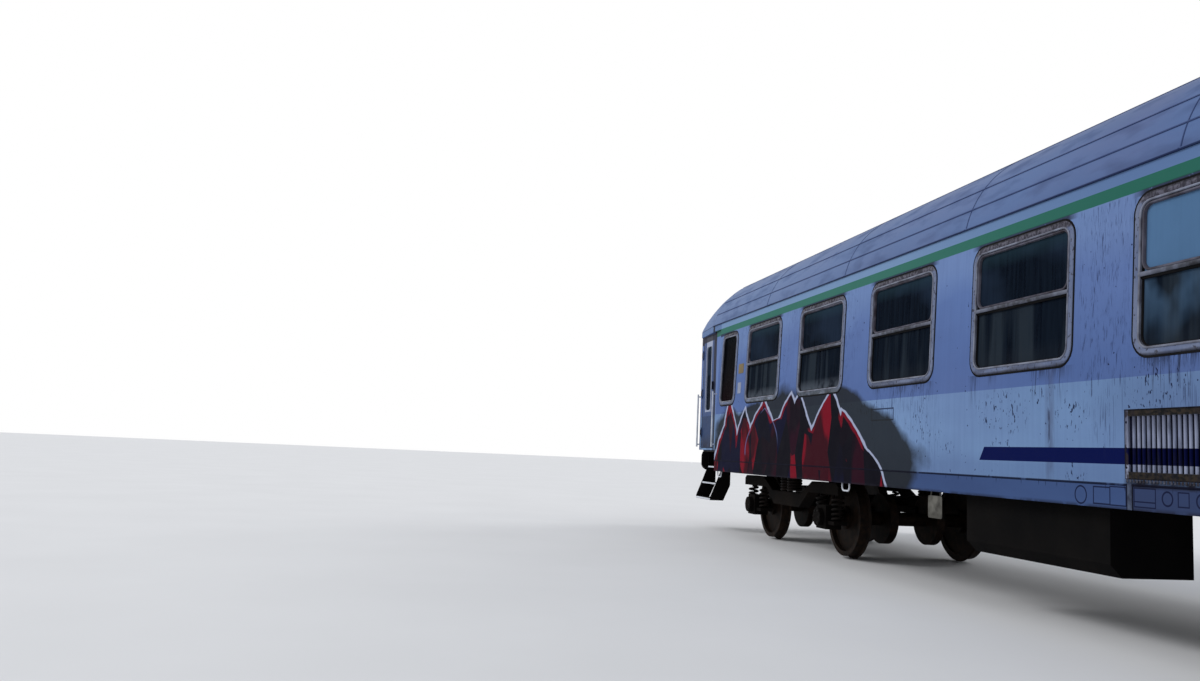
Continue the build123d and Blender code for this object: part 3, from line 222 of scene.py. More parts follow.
def roof_point(angle):
    """Distance across and height of the roof's outer face where its normal leans by an angle from upright."""
    s, c = math.sin(SHOULDER_TURN), math.cos(SHOULDER_TURN)
    half = half_width(GUTTER)
    k = GUTTER - ROOF_TOP + CROWN_R
    shoulder = (CROWN_R ** 2 - half ** 2 - k ** 2) / (2 * (CROWN_R - half * s - k * c))
    d = CROWN_R - shoulder
    start = math.asin((half - shoulder * s) / d)
    base = ROOF_TOP - CROWN_R
    if angle <= start:
        return CROWN_R * math.sin(angle), base + CROWN_R * math.cos(angle)
    reach = d * math.sin(start) + shoulder * math.sin(angle)
    return reach, base + d * math.cos(start) + shoulder * math.cos(angle)


# Screen colours, 8 bits a channel
LAVENDER = (94, 118, 168)
LAVENDER_LOW = (80, 103, 154)
LAVENDER_TOP = (113, 138, 182)
PALE = (108, 137, 176)
PALE_FAR = (118, 146, 185)
CORNICE = (90, 115, 156)
CORNICE_FAR = (114, 141, 176)
GREEN = (43, 97, 85)
GREEN_FAR = (57, 108, 97)
NAVY = (7, 17, 68)
SKIRT_BLUE = (64, 85, 128)
ROOF_BLUE = (82, 104, 147)
END_BLUE = (40, 44, 104)
GRIME = (30, 30, 40)
RUST = (50, 44, 38)
OLIVE = (34, 37, 40)
DARK_RED = (112, 14, 32)
INK = (10, 9, 20)
PLUM = (38, 8, 24)
CHALK = (158, 166, 192)
FRAME_GREY = (92, 103, 132)
DARK_LINE = (20, 24, 50)


class Nodes:
    """Short calls that add nodes to a node tree."""

    def __init__(self, tree):
        self.tree = tree

    def set(self, node, values):
        """Links or plain values fed into a node's inputs."""
        for key, value in values.items():
            if isinstance(value, bpy.types.NodeSocket):
                self.tree.links.new(value, node.inputs[key])
            else:
                node.inputs[key].default_value = value

    def node(self, kind, values=None, **settings):
        made = self.tree.nodes.new(kind)
        for key, value in settings.items():
            setattr(made, key, value)
        self.set(made, values or {})
        return made

    def math(self, operation, a, b=0.0, clamp=False):
        return self.node("ShaderNodeMath", {0: a, 1: b}, operation=operation, use_clamp=clamp).outputs[0]


class Paint(Nodes):
    """A material's nodes and running tone, with short calls for what the finishes share."""

    def __init__(self, name, rough=0.6, metal=0.0, gloss=0.05):
        self.mat = bpy.data.materials.new(name)
        self.mat.use_nodes = True
        super().__init__(self.mat.node_tree)
        self.shader = self.tree.nodes["Principled BSDF"]
        self.set(self.shader, {"Roughness": rough, "Metallic": metal, "Specular IOR Level": gloss})
        self.pos = self.node("ShaderNodeTexCoord").outputs["Object"]
        self.x, self.y, self.z = self.node("ShaderNodeSeparateXYZ", {0: self.pos}).outputs

    def add(self, a, b, clamp=False):
        return self.math("ADD", a, b, clamp)

    def sub(self, a, b, clamp=False):
        return self.math("SUBTRACT", a, b, clamp)

    def times(self, a, b, clamp=False):
        return self.math("MULTIPLY", a, b, clamp)

    def least(self, *values):
        return functools.reduce(lambda a, b: self.math("MINIMUM", a, b), values)

    def absolute(self, value):
        return self.math("ABSOLUTE", value)

    def above(self, value, edge, soft=0.001):
        """0 below the edge, 1 above it, over a soft width."""
        ends = {"Value": value, "From Min": edge - soft, "From Max": edge + soft}
        return self.node("ShaderNodeMapRange", ends).outputs["Result"]

    def under(self, value, edge, soft=0.001):
        """1 below the edge, 0 above it."""
        return self.flip(self.above(value, edge, soft))

    def between(self, value, low, high, soft=0.001):
        return self.times(self.above(value, low, soft), self.under(value, high, soft))

    def flip(self, mask):
        return self.sub(1.0, mask, clamp=True)

    def both(self, *masks):
        return functools.reduce(self.times, masks)

    def either(self, *masks):
        return functools.reduce(lambda a, b: self.math("MAXIMUM", a, b), masks)

    def mix(self, mask, a, b):
        """One tone turning into another with the mask; a tone is a link or a screen colour."""
        values = {"Factor": mask}
        for key, tone in (("A", a), ("B", b)):
            values[key] = srgb(*tone) if isinstance(tone, tuple) else tone
        return self.node("ShaderNodeMix", values, data_type="RGBA").outputs["Result"]

    def lay(self, tone, colour, mask, amount=1.0):
        """A colour laid over a tone where the mask says, as thick as the amount."""
        return self.mix(self.times(mask, amount, clamp=True), tone, colour)

    def coat(self, colour, mask, amount=1.0):
        """A colour laid over the material's own tone."""
        self.tone = self.lay(self.tone, colour, mask, amount)

    def blot(self, x, z, half_x, half_z, soft=0.3):
        """1 inside an ellipse on the wall, 0 outside, over a soft rim."""
        u = self.math("DIVIDE", self.sub(self.x, x), half_x)
        v = self.math("DIVIDE", self.sub(self.z, z), half_z)
        return self.under(self.add(self.times(u, u), self.times(v, v)), 1.0, soft)

    def box_line(self, x0, x1, z0, z1, half):
        """1 along the four sides of a rectangle on the wall."""
        def field(grow):
            along = self.between(self.x, x0 - grow, x1 + grow)
            return self.both(along, self.between(self.z, z0 - grow, z1 + grow))
        return self.both(field(half), self.flip(field(-half)))

    def ring_line(self, x, z, r, half):
        """1 along a circle on the wall."""
        u = self.sub(self.x, x)
        v = self.sub(self.z, z)
        far = self.math("SQRT", self.add(self.times(u, u), self.times(v, v)))
        return self.between(far, r - half, r + half)

    def placed(self, stretch, shift=(0, 0, 0), lean=0.0):
        """The object's coordinates, stretched, shifted and leaned along the wall."""
        values = {"Vector": self.pos, "Scale": stretch, "Location": shift, "Rotation": (0.0, lean, 0.0)}
        return self.node("ShaderNodeMapping", values).outputs[0]

    def noise(self, scale, stretch=(1, 1, 1), detail=3.0, shift=(0, 0, 0), lean=0.0):
        values = {"Vector": self.placed(stretch, shift, lean), "Scale": scale, "Detail": detail}
        return self.node("ShaderNodeTexNoise", values).outputs["Fac"]

    def patch(self, edge, soft, *settings, **more):
        """1 where a noise of these settings is above the edge."""
        return self.above(self.noise(*settings, **more), edge, soft)

    def bump(self, height, depth, strength=1.0):
        made = self.node("ShaderNodeBump", {"Height": height, "Distance": depth, "Strength": strength})
        self.set(self.shader, {"Normal": made.outputs[0]})

    def finish(self, rough=None):
        self.set(self.shader, {"Base Color": self.tone})
        if rough is not None:
            self.set(self.shader, {"Roughness": rough})
        return self.mat


def off_window(paint):
    """Distance along the wall to the middle of the nearest large window."""
    return paint.math("PINGPONG", paint.add(paint.x, PITCH / 2), PITCH / 2)


def drips(paint, scale, edge, zone, shift=0.0):
    """Mask of hair-thin broken streaks that run down the wall inside a zone."""
    thin = paint.noise(scale, (1, 1, 0.015), 2.0, (shift, 0, 0))
    broken = paint.noise(9, (2.5, 1, 1), 3.0, (shift + 1, 0, 0))
    return paint.both(paint.above(thin, edge, 0.02), paint.above(broken, 0.50, 0.05), zone)


def weathered(name, colour, dirt, rough=0.6, metal=0.0, amount=0.6, scale=3.0, grain=40.0, gloss=0.05):
    """Plain finish with patchy dirt, fine grain in its gloss and a slight surface."""
    paint = Paint(name, rough, metal, gloss)
    patches = paint.patch(0.55, 0.16, scale, detail=5)
    fine = paint.noise(grain, detail=4)
    paint.tone = paint.lay(colour, dirt, patches, amount)
    paint.coat(dirt, fine, 0.22)
    paint.bump(fine, 0.0006)
    return paint.finish(paint.add(rough - 0.12, paint.times(fine, 0.24)))


def livery(name, artwork):
    """Side wall paint: skirt, pale band, navy stripe, lavender band, green stripe and pale cornice."""
    paint = Paint(name, 0.6, gloss=0.02)
    z, x = paint.z, paint.x
    height = paint.add(z, paint.times(paint.noise(14, detail=2), 0.004))
    # The bands fade towards the far end, and the lavender is lighter just below the green
    far = paint.above(x, 3.5, 1.8)
    lavender = paint.mix(paint.above(z, 2.40, 0.45), LAVENDER_LOW, LAVENDER)
    top = paint.add(z, paint.times(paint.sub(paint.noise(1.1, detail=3), 0.5), 0.5))
    lavender = paint.lay(lavender, LAVENDER_TOP, paint.above(top, 2.70, 0.13), 0.85)
    paint.tone = paint.mix(paint.above(height, WAIST + 0.002), paint.mix(far, PALE, PALE_FAR), lavender)
    # Wide, faint changes of tone from sun, washing and repairs
    fade = paint.patch(0.52, 0.2, 0.5, (1, 1, 2.4), 4.0)
    paint.coat((106, 124, 172), fade, 0.3)
    dull = paint.patch(0.52, 0.2, 1.1, (0.7, 1, 2.2), 5.0, (5, 0, 2))
    paint.coat((72, 88, 130), dull, 0.25)
    rain = paint.patch(0.55, 0.2, 30, (1, 1, 0.04), 4.0)
    paint.coat((66, 80, 120), rain, 0.14)
    # The wall is a little duller below the stripe and above the grille
    paint.coat((66, 82, 124), paint.under(z, STRIPE_LOW + 0.03, 0.06), 0.24)
    paint.coat(paint.mix(far, GREEN, GREEN_FAR), paint.above(height, GREEN_LOW + 0.002, 0.0015))
    paint.coat(paint.mix(far, CORNICE, CORNICE_FAR), paint.above(z, GREEN_HIGH))
    if artwork:
        paint.coat((62, 72, 106), paint.blot(GRILLE_X, GRILLE_HIGH + 0.06, 0.85, 0.20, 0.8), 0.24)
        # One brown stain runs down from a seam under a window, and an empty label holder's outline is left
        stain = paint.both(paint.blot(*STAIN, 0.9), paint.patch(0.42, 0.14, 5, (4, 1, 1)))
        paint.coat((70, 76, 102), stain, 0.55)
        core = paint.both(paint.blot(*STAIN_CORE, 0.8), paint.patch(0.50, 0.06, 9, (3, 1, 1)))
        paint.coat((44, 46, 66), core, 0.7)
        paint.coat((30, 34, 58), paint.box_line(*LABEL_HOLDER), 0.85)
    slant = paint.add(x, paint.times(paint.sub(z, STRIPE_LOW), STRIPE_SLANT))
    start = STRIPE_START if artwork else HALF
    stripe = paint.both(paint.between(z, STRIPE_LOW, STRIPE_HIGH), paint.under(slant, start))
    paint.coat(NAVY, stripe)
    # The skirt is duller on the panel below the grille
    panel = paint.both(paint.under(x, STRIP_X), paint.above(x, -1.2, 1.0))
    skirt = paint.lay(SKIRT_BLUE, (48, 56, 82), paint.both(panel, paint.above(paint.y, 0.0)), 0.85)
    skirt = paint.lay(skirt, (52, 66, 104), dull, 0.5)
    if artwork:
        skirt = paint.lay(skirt, DARK_LINE, blank_marks(paint), 0.9)
    paint.coat(skirt, paint.under(z, SKIRT))
    below = paint.under(off_window(paint), WINDOW_W / 2 - 0.02, 0.06)
    band = paint.between(z, SKIRT, GREEN_LOW - 0.01, 0.01)
    # Hair-thin drips in loose groups, thickest between the two nearest windows
    group = paint.patch(0.56, 0.05, 0.8, (1, 1, 0.5), 2.0, (3, 0, 0))
    group = paint.either(group, paint.blot(1.93, 2.30, 0.26, 0.95, 0.3))
    paint.coat((32, 38, 70), drips(paint, 210, 0.585, paint.both(group, band)), 0.7)
    # Short dirt just under the windows, with a few longer runs
    patchy = paint.patch(0.50, 0.05, 2.2, (1, 1, 0.1), 2.0, (8, 0, 0))
    comb = paint.noise(70, (1, 1, 0.03), 4.0, (2, 0, 0))
    short = paint.both(paint.above(z, WINDOW_LOW - 0.055, 0.05), paint.above(comb, 0.46, 0.06))
    long_run = paint.both(paint.above(z, WINDOW_LOW - 0.20, 0.12), paint.above(comb, 0.60, 0.03))
    runs = paint.both(paint.either(short, long_run), paint.under(z, WINDOW_LOW), below, patchy)
    paint.coat(GRIME, runs, 0.75)
    # Dirt along the windows' upper edges and round the gaskets
    head = paint.both(paint.between(z, WINDOW_HIGH - 0.01, GREEN_LOW + 0.004, 0.006), below,
                      paint.patch(0.28, 0.08, 40, detail=4))
    paint.coat(GRIME, head, 0.85)
    chipped = chips(paint, artwork)
    paint.coat((24, 27, 54), chipped, 0.9)
    if artwork:
        mural(paint)
    foot = paint.both(paint.under(z, SILL + 0.012, 0.014), paint.patch(0.42, 0.1, 9, detail=5))
    paint.coat(GRIME, foot, 0.8)
    if artwork:
        # Dirt washed out of the grille lies below it
        washed = paint.both(paint.between(x, GRILLE_X - GRILLE_W / 2, GRILLE_X + GRILLE_W / 2, 0.02),
                            paint.between(z, SKIRT - 0.02, GRILLE_LOW, 0.01))
        paint.coat((30, 30, 38), washed, paint.add(0.35, paint.noise(14, (1, 1, 0.3), 4.0)))
    seam = paint.both(paint.between(z, SKIRT - 0.014, SKIRT + 0.003), paint.patch(0.34, 0.06, 5, detail=4))
    weep = paint.patch(0.66, 0.02, 60, (1, 1, 0.05), 4.0)
    weep = paint.both(paint.between(z, SKIRT - 0.04, SKIRT, 0.012), weep)
    paint.coat((14, 15, 30), paint.either(seam, weep), 0.85)
    swell = paint.add(paint.noise(1.4, (1, 1, 1.4), 2.0), paint.times(chipped, -0.02))
    paint.bump(swell, 0.006, 0.5)
    return paint.finish(paint.add(0.52, paint.times(paint.noise(7, detail=5), 0.2)))


def blank_marks(paint):
    """Thin outlines of the blank fields painted on the skirt: boxes, a divided field and circles."""
    boxes = [paint.box_line(*field) for field in FIELDS]
    return paint.either(*boxes, *[paint.ring_line(*ring, 0.0058) for ring in RINGS])


def chips(paint, artwork):
    """Small dark flakes and scratches that lie in groups in the pale band."""
    groups = paint.both(paint.patch(0.60, 0.03, 1.7, (1, 1, 1.5), 2.0, (4, 0, 7)),
                        paint.between(paint.z, SKIRT, WAIST, 0.02))
    if artwork:
        groups = paint.either(groups, *[paint.blot(*spot, 0.5) for spot in CHIP_SPOTS])
    scratch = paint.patch(0.655, 0.012, 22, (1.6, 1, 0.6), 2.0, (1, 0, 0), 0.35)
    fleck = paint.patch(0.655, 0.012, 38, (1.2, 1, 0.5), 2.0, (3, 0, 0), -0.3)
    loose = paint.both(paint.patch(0.765, 0.01, 30, (1, 1, 0.8), 1.0, (6, 0, 2)),
                       paint.between(paint.z, SKIRT, GREEN_LOW, 0.02))
    return paint.either(paint.both(groups, paint.either(scratch, fleck)), loose)


def leaf_gap(paint, x, z, half_x, half_z, lean):
    """How far outside a leaning pointed leaf a point lies along the wall; negative inside it."""
    up = paint.sub(paint.z, z)
    off = paint.add(paint.sub(paint.x, x), paint.times(up, lean))
    rise = paint.times(up, up)
    return paint.add(paint.absolute(off), paint.sub(paint.times(rise, half_x / half_z ** 2), half_x))


def mural(paint):
    """A generic sprayed patch: a clump of pointed leaves in ink, plum and red shards on an olive cloud."""
    drift = paint.sub(paint.noise(1.9, detail=5), 0.5)
    cloud = paint.least(*[leaf_gap(paint, *leaf) for leaf in CLOUD])
    cloud = paint.under(paint.add(cloud, drift), -0.02, 0.12)
    top = paint.under(paint.add(paint.z, paint.times(drift, 0.5)), 2.02, 0.09)
    paint.coat(OLIVE, paint.both(cloud, top), 0.95)
    gap = paint.least(*[leaf_gap(paint, *leaf) for leaf in LEAVES])
    hand = paint.times(paint.sub(paint.noise(2.6, detail=3, shift=(9, 0, 4)), 0.5), 0.22)
    gap = paint.add(gap, hand)
    # Each cell of a stretched cell pattern picks a tone
    values = {"Vector": paint.placed((1.0, 0.001, 0.42), lean=0.25), "Scale": 3.4}
    cells = paint.node("ShaderNodeTexVoronoi", values)
    pick = paint.node("ShaderNodeSeparateColor", {0: cells.outputs["Color"]}).outputs[0]
    fill = paint.mix(paint.above(pick, 0.40, 0.01), INK, PLUM)
    fill = paint.mix(paint.above(pick, 0.52, 0.01), fill, (11, 13, 38))
    fill = paint.mix(paint.above(pick, 0.80, 0.01), fill, DARK_RED)
    fill = paint.lay(fill, INK, paint.patch(0.52, 0.03, 2.0, (1, 1, 0.5), 2.0, (5, 0, 5)), 0.8)
    edge = paint.both(paint.above(gap, -0.08, 0.01), paint.patch(0.50, 0.02, 1.5, detail=1, shift=(1, 0, 6)))
    fill = paint.lay(fill, DARK_RED, edge, 0.85)
    vein = paint.between(leaf_gap(paint, *VEIN), -0.02, 0.012, 0.006)
    vein = paint.both(vein, paint.patch(0.50, 0.02, 1.2, detail=1, shift=(4, 0, 2)))
    fill = paint.lay(fill, (92, 104, 150), vein, 0.7)
    paint.coat(CHALK, paint.under(gap, 0.060, 0.006), 0.95)
    paint.coat(fill, paint.under(gap, 0.0, 0.006))


def glazing():
    """Dusty tinted pane: upright streaks and haze over dark glass that lets a little of the inside show, with
    a painted sky reflection on one pane and painted shade in the narrow ones.
    """
    paint = Paint("glass", 0.2, gloss=0.001)
    x, z = paint.x, paint.z
    fine = paint.patch(0.50, 0.16, 30, (1, 1, 0.05), 4.0)
    wide = paint.patch(0.52, 0.05, 5, (1, 1, 0.05), 3.0, (3, 0, 0))
    lower = paint.both(paint.under(z, WINDOW_MID), paint.above(z, WINDOW_LOW))
    paint.tone = paint.lay((10, 16, 26), (44, 52, 60), paint.both(wide, lower), 0.7)
    paint.coat((28, 38, 50), fine, 0.35)
    haze = paint.patch(0.54, 0.08, 0.9, (1, 1, 1.6), 3.0, (3, 1, 2))
    paint.coat((36, 48, 66), paint.both(haze, paint.above(z, WINDOW_MID)), 0.6)
    # Towards the foot of each pane: lighter teal on the upper panes, grey grime on the lower ones
    foot = paint.under(paint.math("PINGPONG", paint.sub(z, WINDOW_LOW), WINDOW_H / 2), 0.10, 0.12)
    paint.coat((48, 72, 84), paint.both(foot, paint.above(z, WINDOW_MID)), 0.6)
    paint.coat((46, 50, 56), paint.both(foot, lower), 0.3)
    # The narrow panes near the ends are painted near black, as the shade of the inside seen through them, and
    # brownish at the foot
    narrow = paint.between(paint.absolute(x), NARROW_X - 0.5, SIDE_HALF)
    brown = paint.mix(paint.above(z, WINDOW_LOW + 0.3, 0.3), (22, 10, 11), (8, 8, 10))
    paint.coat(brown, narrow, 0.9)
    # One upper pane near the middle is painted pale teal all over as a sky reflection, and two lower ones
    # caught some spray
    sky_reflection_zone = paint.both(paint.between(x, *SKY_REFLECTION_REACH), paint.above(paint.y, 0.0))
    reflection_strength = paint.add(0.60, paint.times(paint.noise(1.4, detail=3), 0.45))
    paint.coat((86, 120, 158), paint.both(paint.above(z, WINDOW_MID), sky_reflection_zone), reflection_strength)
    # The painted sky reflection reaches into the top of the pane below it
    below = paint.both(paint.above(z, WINDOW_MID - 0.30, 0.22), paint.under(z, WINDOW_MID), sky_reflection_zone,
                       paint.patch(0.53, 0.06, 2.4, (1, 1, 0.6), 3.0, (6, 0, 1)))
    paint.coat((72, 98, 126), below, 0.6)
    paint.coat((110, 118, 130), overspray(paint), 0.6)
    paint.set(paint.shader, {"Alpha": paint.add(0.96, paint.times(fine, 0.06), clamp=True)})
    return paint.finish(paint.add(0.25, paint.times(haze, 0.2)))


def overspray(paint):
    """Thin spray mist over the feet of the windows above the sprayed patch, on the left side only."""
    low = paint.under(paint.z, WINDOW_LOW + 0.10, 0.09)
    reach = paint.both(paint.between(paint.x, *SPRAYED, 0.2), paint.above(paint.y, 0.0))
    return paint.both(low, reach, paint.patch(0.44, 0.08, 5, detail=4, shift=(2, 0, 1)))


def window_metal():
    """Weathered aluminium: a dirty, brownish upper strip, dark runs in the lower one and specks."""
    paint = Paint("window_metal", 0.5, 0.1, 0.12)
    grime = paint.patch(0.50, 0.08, 44, (1, 1, 0.8), 5.0)
    paint.tone = paint.lay(FRAME_GREY, (112, 120, 142), paint.patch(0.5, 0.1, 3, detail=3), 0.5)
    top = paint.above(paint.z, WINDOW_HIGH - 0.058, 0.010)
    paint.coat((82, 78, 88), top, 0.85)
    paint.coat((26, 25, 32), paint.both(grime, top), 0.75)
    paint.coat((20, 20, 28), paint.above(paint.z, WINDOW_HIGH - 0.012, 0.006), 0.8)
    specks = paint.patch(0.62, 0.03, 40, (1, 1, 0.8), 4.0, (4, 0, 0))
    paint.coat((44, 42, 50), specks, 0.8)
    # The lower strip has long stains and a dirty groove along its lower edge
    foot = paint.under(paint.z, WINDOW_LOW + 0.05, 0.01)
    long_stain = paint.patch(0.52, 0.10, 9, (0.35, 1, 3.0), 4.0)
    paint.coat((46, 46, 56), paint.both(foot, long_stain), 0.5)
    paint.coat((30, 30, 40), paint.under(paint.z, WINDOW_LOW + 0.014, 0.006), 0.7)
    paint.coat((124, 132, 146), overspray(paint), 0.7)
    # Above the sprayed patch the lower strips are smeared dark
    near_patch = paint.both(foot, paint.between(paint.x, *SPRAYED, 0.3), paint.above(paint.y, 0.0))
    smear = paint.patch(0.44, 0.10, 6, (1, 1, 2.5), 4.0, (5, 0, 2))
    paint.coat((44, 50, 54), paint.both(near_patch, smear), 0.75)
    paint.bump(paint.noise(120, detail=4), 0.0005)
    return paint.finish(paint.add(0.45, paint.times(grime, 0.3)))


def transom_metal():
    """Transom bars: pale at the ends, dirty and mottled in the middle."""
    paint = Paint("transom", 0.5, 0.2, 0.1)
    middle = paint.under(off_window(paint), 0.36, 0.22)
    mottle = paint.patch(0.46, 0.12, 17, detail=4)
    amount = paint.add(0.25, paint.times(middle, 0.65))
    paint.tone = paint.lay((104, 109, 126), (30, 30, 34), mottle, amount)
    paint.coat((44, 44, 50), middle, 0.45)
    paint.bump(mottle, 0.0006)
    return paint.finish()


def grille_paint():
    """Slats in a worn pale tone, the navy stripe across them, rust and algae on the rails, painted shade in
    the gaps between slats.
    """
    paint = Paint("grille_paint", 0.6, gloss=0.02)
    z = paint.z
    worn = paint.patch(0.5, 0.2, 5, (8, 1, 0.4), 3.0)
    paint.tone = paint.mix(worn, (112, 120, 146), (146, 152, 174))
    shadow = paint.above(z, GRILLE_HIGH - GRILLE_HEAD - 0.06, 0.06)
    paint.coat((50, 50, 62), shadow, 0.55)
    # Painted shade: the recesses between the slats are darkened, also where the navy stripe crosses them
    gap = paint.under(paint.y, GRILLE_FACE - 0.0135, 0.003)
    paint.coat((18, 20, 44), gap, 0.92)
    paint.coat(paint.mix(gap, (5, 9, 48), (2, 3, 22)), paint.between(z, STRIPE_LOW, STRIPE_HIGH))
    rails = paint.either(paint.above(z, GRILLE_HIGH - GRILLE_HEAD),
                         paint.between(z, GRILLE_LOW, GRILLE_LOW + GRILLE_FOOT))
    off = paint.absolute(paint.sub(paint.x, GRILLE_X))
    inner = paint.under(off, GRILLE_W / 2 - 0.034)
    mottle = paint.patch(0.50, 0.10, 30, (1, 1, 1.6), 5.0)
    paint.coat(paint.mix(mottle, (24, 25, 26), RUST), paint.both(rails, inner))
    flaked = paint.both(paint.flip(inner), paint.patch(0.56, 0.04, 16, (1, 1, 0.8), 4.0, (0, 0, 5)))
    paint.coat((44, 38, 40), flaked, 0.85)
    border = paint.either(paint.above(off, GRILLE_W / 2 - 0.009, 0.003),
                          paint.above(z, GRILLE_HIGH - 0.010, 0.004),
                          paint.between(z, GRILLE_LOW - 0.002, GRILLE_LOW + 0.006, 0.002))
    paint.coat((14, 14, 22), border, 0.85)
    # The teeth below the frame are rusty and dark towards their tips
    teeth = paint.under(z, GRILLE_LOW - 0.001)
    paint.coat((46, 42, 44), teeth, paint.add(0.4, paint.noise(20, detail=3)))
    grime = paint.patch(0.57, 0.08, 26, (1, 1, 0.2), 4.0)
    paint.coat(GRIME, grime, 0.45)
    paint.bump(paint.noise(90, detail=3), 0.0008)
    return paint.finish()


def roof_paint():
    """Lavender-grey roof with long dull patches, dark lines at its seams and joints, and a painted shadow
    line at the gutter.
    """
    paint = Paint("roof_paint", 0.7)
    across = paint.absolute(paint.y)
    along = paint.absolute(paint.x)
    dull = paint.patch(0.5, 0.16, 0.8, (0.5, 1, 1), 5.0)
    paint.tone = paint.lay(ROOF_BLUE, (74, 90, 130), dull, 0.6)
    mauve = paint.patch(0.53, 0.12, 2.2, (0.35, 1, 1), 4.0, (7, 0, 0))
    paint.coat((90, 100, 138), mauve, 0.4)
    paint.coat((112, 132, 168), paint.above(paint.x, 5.0, 3.5), 0.45)
    soot = paint.patch(0.60, 0.12, 6, (0.4, 1, 1), 5.0, (2, 0, 0))
    paint.coat((62, 66, 92), soot, 0.35)
    paint.coat((84, 88, 104), paint.above(paint.z, ROOF_TOP - 0.25, 0.2), 0.2)
    gutter_shadow_line = paint.between(paint.z, GUTTER - 0.002, GUTTER + 0.011)
    lines = 0.0
    for degrees in SEAM_TURNS:
        y, z = roof_point(math.radians(degrees))
        near_y = paint.absolute(paint.sub(across, y))
        near_z = paint.absolute(paint.sub(paint.z, z))
        seam = paint.under(paint.either(near_y, near_z), 0.0075)
        lines = paint.either(lines, paint.both(seam, paint.under(along, ROOF_BREAK)))
    joint = paint.math("PINGPONG", paint.add(paint.x, ROOF_PANEL / 2), ROOF_PANEL / 2)
    joints = paint.both(paint.under(joint, 0.006), paint.under(along, JOINT_END))
    lines = paint.either(lines, joints, paint.between(along, ROOF_BREAK - 0.006, ROOF_BREAK + 0.006))
    paint.coat((46, 60, 100), lines, 0.9)
    # Painted shadow: a dark line at the gutter, as cast by its drip ledge
    paint.coat((20, 32, 66), gutter_shadow_line, 0.9)
    paint.bump(paint.noise(1.2, (1, 1.5, 1.5), 2.0), 0.008, 0.4)
    return paint.finish(paint.add(0.52, paint.times(soot, 0.3)))


def end_paint():
    """Blue-violet end panels, livery on the tapered sides, a pale cornice and chalky wear."""
    paint = Paint("end_paint", 0.55)
    worn = paint.patch(0.54, 0.1, 2.4, detail=5)
    paint.tone = paint.lay(END_BLUE, (80, 74, 128), worn, 0.4)
    along = paint.absolute(paint.x)
    outside = paint.above(paint.absolute(paint.y), END_EDGE_Y, 0.002)
    band = paint.mix(paint.above(paint.z, WAIST), PALE, LAVENDER)
    paint.coat(band, paint.both(outside, paint.under(along, HALF - 0.03)))
    paint.coat(CORNICE, paint.above(paint.z, GREEN_HIGH + 0.002))
    jamb_x = DOOR_X - DOOR_W / 2
    beside = paint.both(outside, paint.under(along, jamb_x - 0.06))
    paint.coat(GREEN, paint.both(beside, paint.between(paint.z, GREEN_LOW, GREEN_HIGH)))
    # The lintel over each side door and the post beside it are painted dark
    lintel = paint.between(paint.z, GREEN_LOW - 0.05, GREEN_HIGH - 0.002)
    lintel = paint.both(lintel, outside, paint.above(along, jamb_x - 0.06))
    paint.coat((34, 30, 34), lintel, 0.92)
    jamb = paint.both(paint.between(along, jamb_x - 0.08, jamb_x + 0.01), outside)
    paint.coat((20, 20, 34), jamb, 0.92)
    paint.coat(GRIME, drips(paint, 110, 0.60, worn, 2.0), 0.6)
    paint.coat(GRIME, paint.both(paint.under(paint.z, FLOOR + 0.1, 0.1), worn), 0.6)
    paint.bump(paint.noise(2.0, detail=2), 0.005, 0.5)
    return paint.finish()


def door_paint():
    """Side doors in the livery's bands, painted darker as the shade in their recesses, with a pale surround
    round the pane and a grimy foot.
    """
    paint = Paint("door_paint", 0.55)
    # Both bands are darker than the wall's: painted shade of the recessed doors
    paint.tone = paint.mix(paint.above(paint.z, WAIST + 0.002), (44, 62, 96), (62, 80, 120))
    across = paint.sub(paint.absolute(paint.x), DOOR_X)
    off = paint.absolute(across)
    surround = paint.both(paint.under(off, SURROUND_W / 2), paint.above(paint.z, SURROUND_LOW))
    paint.coat((160, 168, 190), surround, 0.9)
    edge = paint.either(paint.above(off, DOOR_W / 2 - 0.03, 0.003),
                        paint.above(paint.z, GREEN_LOW - 0.02, 0.003),
                        paint.under(across, 0.09 - DOOR_W / 2, 0.003))
    paint.coat((24, 22, 30), edge, 0.9)
    foot = paint.both(paint.under(paint.z, FLOOR + 0.14, 0.1), paint.patch(0.4, 0.1, 7, detail=5))
    paint.coat(GRIME, foot, 0.7)
    streaky = paint.patch(0.5, 0.1, 1.2, detail=3)
    paint.coat((30, 34, 60), drips(paint, 110, 0.60, streaky, 4.0), 0.6)
    paint.bump(paint.noise(2.0, detail=2), 0.004, 0.4)
    return paint.finish()


def leaf_paint():
    """Orange-red gangway door with dents and scuffs."""
    paint = Paint("leaf_paint", 0.5)
    worn = paint.patch(0.55, 0.14, 3.0, (1, 1, 1.6), 4.0)
    paint.tone = paint.lay((196, 62, 30), (146, 42, 26), worn, 0.5)
    scuff = paint.patch(0.68, 0.03, 40, (1, 0.6, 2.2), 4.0)
    paint.coat((70, 36, 30), scuff, 0.6)
    paint.bump(paint.noise(4.0, detail=2), 0.012, 0.7)
    return paint.finish()


def wheel_steel():
    """Dark steel with patches of rust."""
    paint = Paint("wheel_steel", 0.65, 0.2)
    rust = paint.patch(0.5, 0.15, 12, detail=5)
    paint.tone = paint.mix(rust, (20, 17, 16), (38, 28, 22))
    paint.bump(paint.noise(60, detail=4), 0.001)
    return paint.finish()


def seat_cloth():
    """Worn cloth with a fine weave."""
    paint = Paint("seat_cloth", 0.9)
    weave = paint.noise(420, detail=1)
    worn = paint.patch(0.5, 0.2, 3, detail=4)
    paint.tone = paint.mix(worn, (96, 40, 36), (116, 60, 50))
    paint.coat((40, 24, 24), weave, 0.3)
    paint.set(paint.shader, {"Sheen Weight": 0.2})
    paint.bump(weave, 0.0015)
    return paint.finish()


